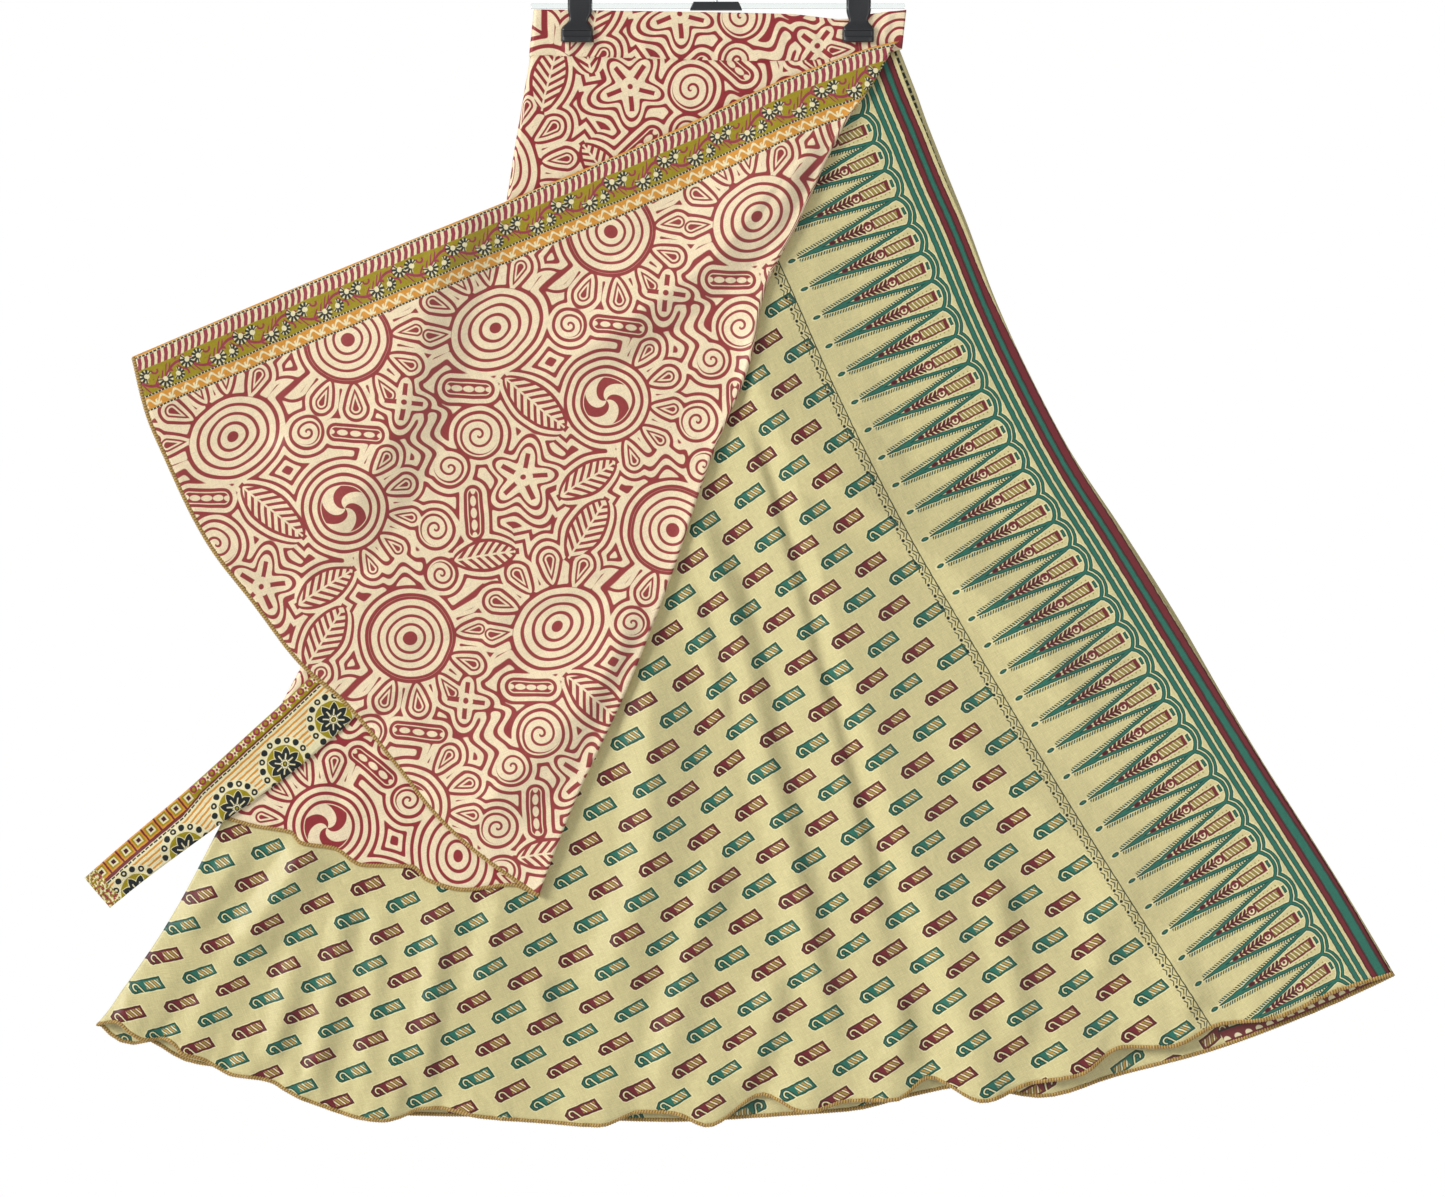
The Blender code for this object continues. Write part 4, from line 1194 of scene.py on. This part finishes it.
def buildTie(name, stations, outOf, side):
    # Strip of changing width along a smooth line; past the layers it waves and cups a little.
    share = np.linspace(0, 1, tieWaves["points"])
    xy, widths = np.array(stations, float)[:, :2], [width for _, _, width in stations]
    middle, travel = along(xy, share), travelled(xy)
    width = through(list(zip(travel / travel[-1], widths)), share)
    way = unit(np.gradient(middle, axis=0))
    aside = np.stack([-way[:, 1], way[:, 0]], axis=-1)
    lanes = np.linspace(-0.5, 0.5, tieWaves["lanes"])
    plan = middle[:, None] + aside[:, None] * (width[:, None] * lanes)[..., None]
    across, down = plan[..., 0], plan[..., 1]
    fromEnd = (1 - share[:, None]) * travel[-1] + 0 * lanes
    reach, settles = tieWaves["loose"][side]
    cup = np.cos(lanes * 2 * pi * tieWaves["cupTurns"] + fromEnd / tieWaves["cupLength"])
    wave = (waves(across, down, tieWaves["sets"]) + tieWaves["rest"] + tieWaves["cup"] * cup)
    wave = wave * ease((reach - fromEnd) / settles)
    grid = pointsOn(across, down, side * (outOf(across, down) + np.maximum(wave, 0)))
    prints = np.stack([(0.5 - lanes) * width[:, None], fromEnd], axis=-1)
    if side > 0:
        grid, prints = grid[:, ::-1], prints[:, ::-1]
    return grid, addCloth(name, grid, prints, ["tie"], form["clothWall"])


overlock = {
    "halfHigh": 1.8, "halfThick": 0.85, "inset": 1.0, "step": 0.75, "stitch": 2.3, "swell": 0.2,
    # dark is painted shade for the grooves between the thread's wraps
    "sides": 8, "colour": (196, 160, 82), "dark": (124, 92, 38), "roughness": 0.6, "sheen": 0.25,
    "bump": 0.6, "depth": 0.0004,
}


def threadMaterial():
    # Slanted wraps of thread: the stitches' bump and their painted shade, darker in the grooves
    # between wraps, go round the edge on a slant.
    material, tree, shader = newMaterial("overlock thread", {"Sheen Weight": overlock["sheen"]})
    s, around = printPlace(tree)
    s = s * 1000.0
    stitch = ((s / overlock["stitch"] + around) * (2 * pi)).sine() * 0.5 + 0.5
    # painted shade: the colour goes to the dark tone in the grooves between wraps, where stitch is
    # low; the noise varies the thread's tone at random
    shade = stitch * (noise(s / 3, around * 3) + 0.4)
    fill(tree, shader, {
        "Base Color": mixed(tree, shade, linear(overlock["dark"]), linear(overlock["colour"])),
        "Roughness": stitch * -0.1 + overlock["roughness"],
        "Normal": bumped(tree, stitch, overlock["bump"], overlock["depth"])})
    return material


def addTube(name, loops, finish, place=None):
    # Closed surface through loops of points, capped at both ends; place is (along, round) there.
    count, sides = loops.shape[:2]
    index = np.arange(count * sides).reshape(count, sides)
    after = np.roll(index, -1, axis=1)
    faces = np.stack([index[:-1], after[:-1], after[1:], index[1:]], axis=-1).reshape(-1, 4)
    faces = faces.tolist() + [index[0, ::-1].tolist(), index[-1].tolist()]
    mesh = bpy.data.meshes.new(name)
    mesh.from_pydata(loops.reshape(-1, 3).tolist(), [], faces)
    if place is not None:
        around = np.tile(np.arange(sides) / sides, count)
        setPrint(mesh, np.stack([np.repeat(place, sides), around], axis=-1))
    shell = bmesh.new()
    shell.from_mesh(mesh)
    bmesh.ops.recalc_face_normals(shell, faces=shell.faces)
    shell.to_mesh(mesh)
    shell.free()
    mesh.shade_smooth()
    mesh.materials.append(finish)
    return addObject(name, mesh)


def buildOverlock(name, grid):
    # Oval thread wrap carried along the grid's last row, swelling once for each stitch.
    edge, inner = grid[-1], grid[-2]
    travel = travelled(edge)
    places = np.arange(0, travel[-1], overlock["step"] * mm)

    def resampled(points):
        return np.stack([np.interp(places, travel, column) for column in points.T], axis=-1)

    line = resampled(edge)
    into = unit(resampled(unit(inner - edge)))
    out = unit(np.cross(unit(np.gradient(line, axis=0)), into))
    angles = np.linspace(0, 2 * pi, overlock["sides"], endpoint=False)
    phase = 2 * pi * places[:, None] / mm / overlock["stitch"]
    stitches = 1 + overlock["swell"] * np.sin(phase + angles)
    high, thick = overlock["halfHigh"] * mm, overlock["halfThick"] * mm
    middle = line + into * overlock["inset"] * mm
    loops = (middle[:, None] + into[:, None] * (high * np.cos(angles) * stitches)[..., None]
             + out[:, None] * (thick * np.sin(angles) * stitches)[..., None])
    return addTube(name, loops, finishes["thread"], places)


clip = {
    "across": {"clip_left": -111.5, "clip_right": 117.0}, "inside": 3.8, "roomTop": 63.7,
    "columns": 25, "rows": [(50, 51.2, 5), (52, 83, 32), (83.4, 96.2, 65)],
    # down and half width; down and how far out the face stands, and the same without its lips
    "outline": [(50, 10), (69, 10), (74, 9.0), (77, 7.9), (79, 8.2), (84, 12.4), (86, 13.1),
                (94.6, 13.2), (96.2, 12.4)],
    "face": [(50, 5.2), (51.2, 6.2), (79, 6.2), (84.2, 8.0), (85.6, 8.5), (86.4, 8.6),
             (87.4, 7.5), (91.4, 7.3), (92.3, 8.9), (95.2, 9.1), (96.2, 8.0)],
    "flat": [(50, 5.2), (51.2, 6.2), (79, 6.2), (86, 8.5), (96.2, 8.5)],
    # the panel's half width and the soft step at its edge, the rim's height and where it starts,
    # and each clip's lean
    "panel": 0.76, "step": 0.12, "rim": 0.3, "rimFrom": (84, 3), "leanFrom": (72, 12),
    "lean": {"clip_left": -2.4, "clip_right": -0.4},
}


def buildClip(name):
    # Two leaves and the strap over the bar: each leaf is a face that stands out from its flat
    # inside by (1 - share ** 12) ** 0.5 across its width, with a panel sunk between its lips.
    down = np.concatenate([np.linspace(*row) for row in clip["rows"]])
    half = through(clip["outline"], down)[:, None]
    share = np.linspace(-1, 1, clip["columns"])
    raised = through(clip["face"], down)
    flat = np.minimum(raised, through(clip["flat"], down))
    sunk = ease((clip["panel"] - np.abs(share)) / clip["step"] + 0.5)
    face = flat[:, None] + (raised - flat)[:, None] * sunk
    start, over = clip["rimFrom"]
    rim = ease((down - start) / over)[:, None] * np.where(sunk < 0.5, clip["rim"], 0.0)
    out = clip["inside"] + (face + rim - clip["inside"]) * np.sqrt(1 - np.abs(share) ** 12)
    inside = np.where((down < clip["roomTop"])[:, None], 0.0, clip["inside"]) + 0 * out
    start, over = clip["leanFrom"]
    middle = clip["across"][name] + (clip["lean"][name] * ease((down - start) / over))[:, None]
    across = middle + half * share
    across = np.concatenate([across, across[:, -2:0:-1]], axis=1)
    both = np.concatenate([out, inside[:, -2:0:-1]], axis=1)
    leaves = [pointsOn(across, down[:, None], way * both) for way in (1, -1)]
    return [addTube(f"{name}_{side}_leaf", points, finishes["black"])
            for side, points in zip(("front", "back"), leaves)]


hanger = {
    "black": {"colour": (0.022, 0.023, 0.026), "roughness": 0.36, "vary": 0.14, "grain": 900.0,
              "bump": 0.12, "metal": 0.0, "clear": 0.0},
    "clear": {"colour": (0.86, 0.93, 0.9), "roughness": 0.04, "vary": 0.05, "grain": 60.0,
              "bump": 0.03, "metal": 0.0, "clear": 1.0},
    "wire": {"colour": (0.56, 0.56, 0.57), "roughness": 0.24, "vary": 0.16, "grain": 400.0,
             "bump": 0.05, "metal": 1.0, "clear": 0.0},
}


def hangerMaterial(name, own):
    # Plastic or metal with faint handling marks that vary its gloss, and a fine grain.
    material, tree, shader = newMaterial(name, {
        "Metallic": own["metal"], "Transmission Weight": own["clear"], "IOR": 1.49})
    place = addNode(tree, "TexCoord").outputs["Object"]
    clouds = addNode(tree, "TexNoise", {"Vector": place, "Scale": 45.0, "Detail": 4.0})
    grain = addNode(tree, "TexNoise", {"Vector": place, "Scale": own["grain"]})
    marks = Signal(tree, clouds.outputs["Fac"])
    paler = tuple(min(1.0, c * 1.25 + 0.006) for c in own["colour"])
    fill(tree, shader, {
        "Roughness": (marks - 0.5) * (2 * own["vary"]) + own["roughness"],
        "Base Color": mixed(tree, marks * 0.5, (*own["colour"], 1), (*paler, 1)),
        "Normal": bumped(tree, grain.outputs["Fac"], own["bump"], 0.0003)})
    return material


finishes["thread"] = threadMaterial()
finishes.update({own: hangerMaterial("hanger " + own, hanger[own]) for own in hanger})
longGrid, longCloth = buildLongLayer()
shortGrid, shortCloth = buildShortLayer()
_, bandCloth = buildBand()
_, tieFront = buildTie("tie_front_cloth", frontTie,
                       lambda a, d: shortOut(a, d) + form["plyStep"] + form["tieRoom"], 1)
_, tieBack = buildTie("tie_back_cloth", backTie,
                      lambda a, d: backOut(a, d) + 2 * form["plyStep"] + form["backTieRoom"], -1)
longThread = buildOverlock("long_hem_overlock", longGrid)
shortThread = buildOverlock("short_hem_overlock", shortGrid)
print("cloth and threads built")

# Each cloth, the node it stands for, its slot, what it rests on and its threads, and its cut:
# width and length of the piece of cloth and its own flat area, in metres.
for item, node, slot, on, sewn, flat, area in [
    (longCloth, "long_layer", "long_layer_cloth", ["waistband_cloth"], [longThread],
     (2.30, 0.95), 1.13),
    (shortCloth, "short_layer", "short_layer_cloth", ["waistband_cloth"], [shortThread],
     (1.75, 0.80), 0.75),
    (bandCloth, "waistband", "waistband_cloth", ["clip_left", "clip_right"], [],
     (0.62, 0.04), None),
    (tieFront, "tie_front", "tie_cloth", ["waistband_cloth"], [], (0.93, 0.05), None),
    (tieBack, "tie_back", "tie_cloth", ["waistband_cloth"], [], (0.88, 0.05), None),
]:
    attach(item, "root")
    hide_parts(node)
    for thread in sewn:
        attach(thread, "root")
    print(item.name, "one-layer area", round(sum(p.area for p in item.data.polygons), 3))

for node in clip["across"]:
    for item in buildClip(node):
        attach(item, "root")
        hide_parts(node)
for node, own in (("hanger_bar", "clear"), ("hanger_plate", "black"), ("hanger_hook", "wire")):
    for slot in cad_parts[node].material_slots:
        slot.material = finishes[own]
print("hanger finished")

studio = {
    "distance": 4.0, "middle": (0.0053, -0.5518), "frameWidth": 1.185, "sensor": 36,
    "seenWhite": 1.0, "ambient": 0.27, "floorDown": 1.6, "floorAside": 9.0, "floorBehind": 4.3,
    "floorColour": (0.78, 0.78, 0.77), "floorRoughness": 0.7, "softness": 24.0,
    # suns: where the light comes from and its strength; fill: place, size and power
    "suns": {"key light": ((-1.0, -0.62, 0.42), 3.0), "back light": ((0.7, 1.0, 0.45), 1.7)},
    "fill": ((1.8, -3.0, -0.2), 1.8, 18),
}


def addLight(name, kind, place, towards, **settings):
    # A light that shines from a place towards another.
    light = bpy.data.lights.new(name, kind)
    for setting, value in settings.items():
        setattr(light, setting, value)
    item = addObject(name, light)
    item.location = place
    item.rotation_euler = (Vector(towards) - Vector(place)).to_track_quat("-Z", "Y").to_euler()


def buildStudio():
    # White world that lights little, a fill lamp, two soft suns, a pale floor and the camera.
    scene = bpy.context.scene
    scene.view_settings.view_transform = "Standard"
    world = scene.world = bpy.data.worlds.new("white studio")
    world.use_nodes = True
    tree, white = world.node_tree, (1, 1, 1, 1)
    dim = fill(tree, tree.nodes["Background"], {"Color": white, "Strength": studio["ambient"]})
    bright = addNode(tree, "Background", {"Color": white, "Strength": studio["seenWhite"]})
    path = addNode(tree, "LightPath").outputs
    seen = addNode(tree, "Math", {0: path["Is Camera Ray"], 1: path["Is Transmission Ray"]},
                   operation="MAXIMUM")
    mix = addNode(tree, "MixShader", {0: seen.outputs[0], 1: dim.outputs[0], 2: bright.outputs[0]})
    fill(tree, tree.nodes["World Output"], {0: mix.outputs[0]})

    place, size, power = studio["fill"]
    addLight("fill light", "AREA", place, (0, 0, studio["middle"][1]), shape="DISK", size=size,
             energy=power)
    for name, (place, strength) in studio["suns"].items():
        addLight(name, "SUN", place, (0, 0, 0), energy=strength, angle=radians(studio["softness"]))

    aside, behind, down = studio["floorAside"], studio["floorBehind"], studio["floorDown"]
    mesh = bpy.data.meshes.new("floor")
    mesh.from_pydata([(-aside, -aside, -down), (aside, -aside, -down), (aside, behind, -down),
                      (-aside, behind, -down)], [], [(0, 1, 2, 3)])
    mesh.materials.append(newMaterial("pale floor", {
        "Base Color": (*studio["floorColour"], 1), "Roughness": studio["floorRoughness"]})[0])
    addObject("floor", mesh)

    data = bpy.data.cameras.new("camera")
    data.sensor_width = studio["sensor"]
    data.lens = studio["sensor"] * studio["distance"] / studio["frameWidth"]
    camera = scene.camera = addObject("camera", data)
    camera.location = (studio["middle"][0], -studio["distance"], studio["middle"][1])
    camera.rotation_euler = (pi / 2, 0, 0)


buildStudio()
print("studio built")
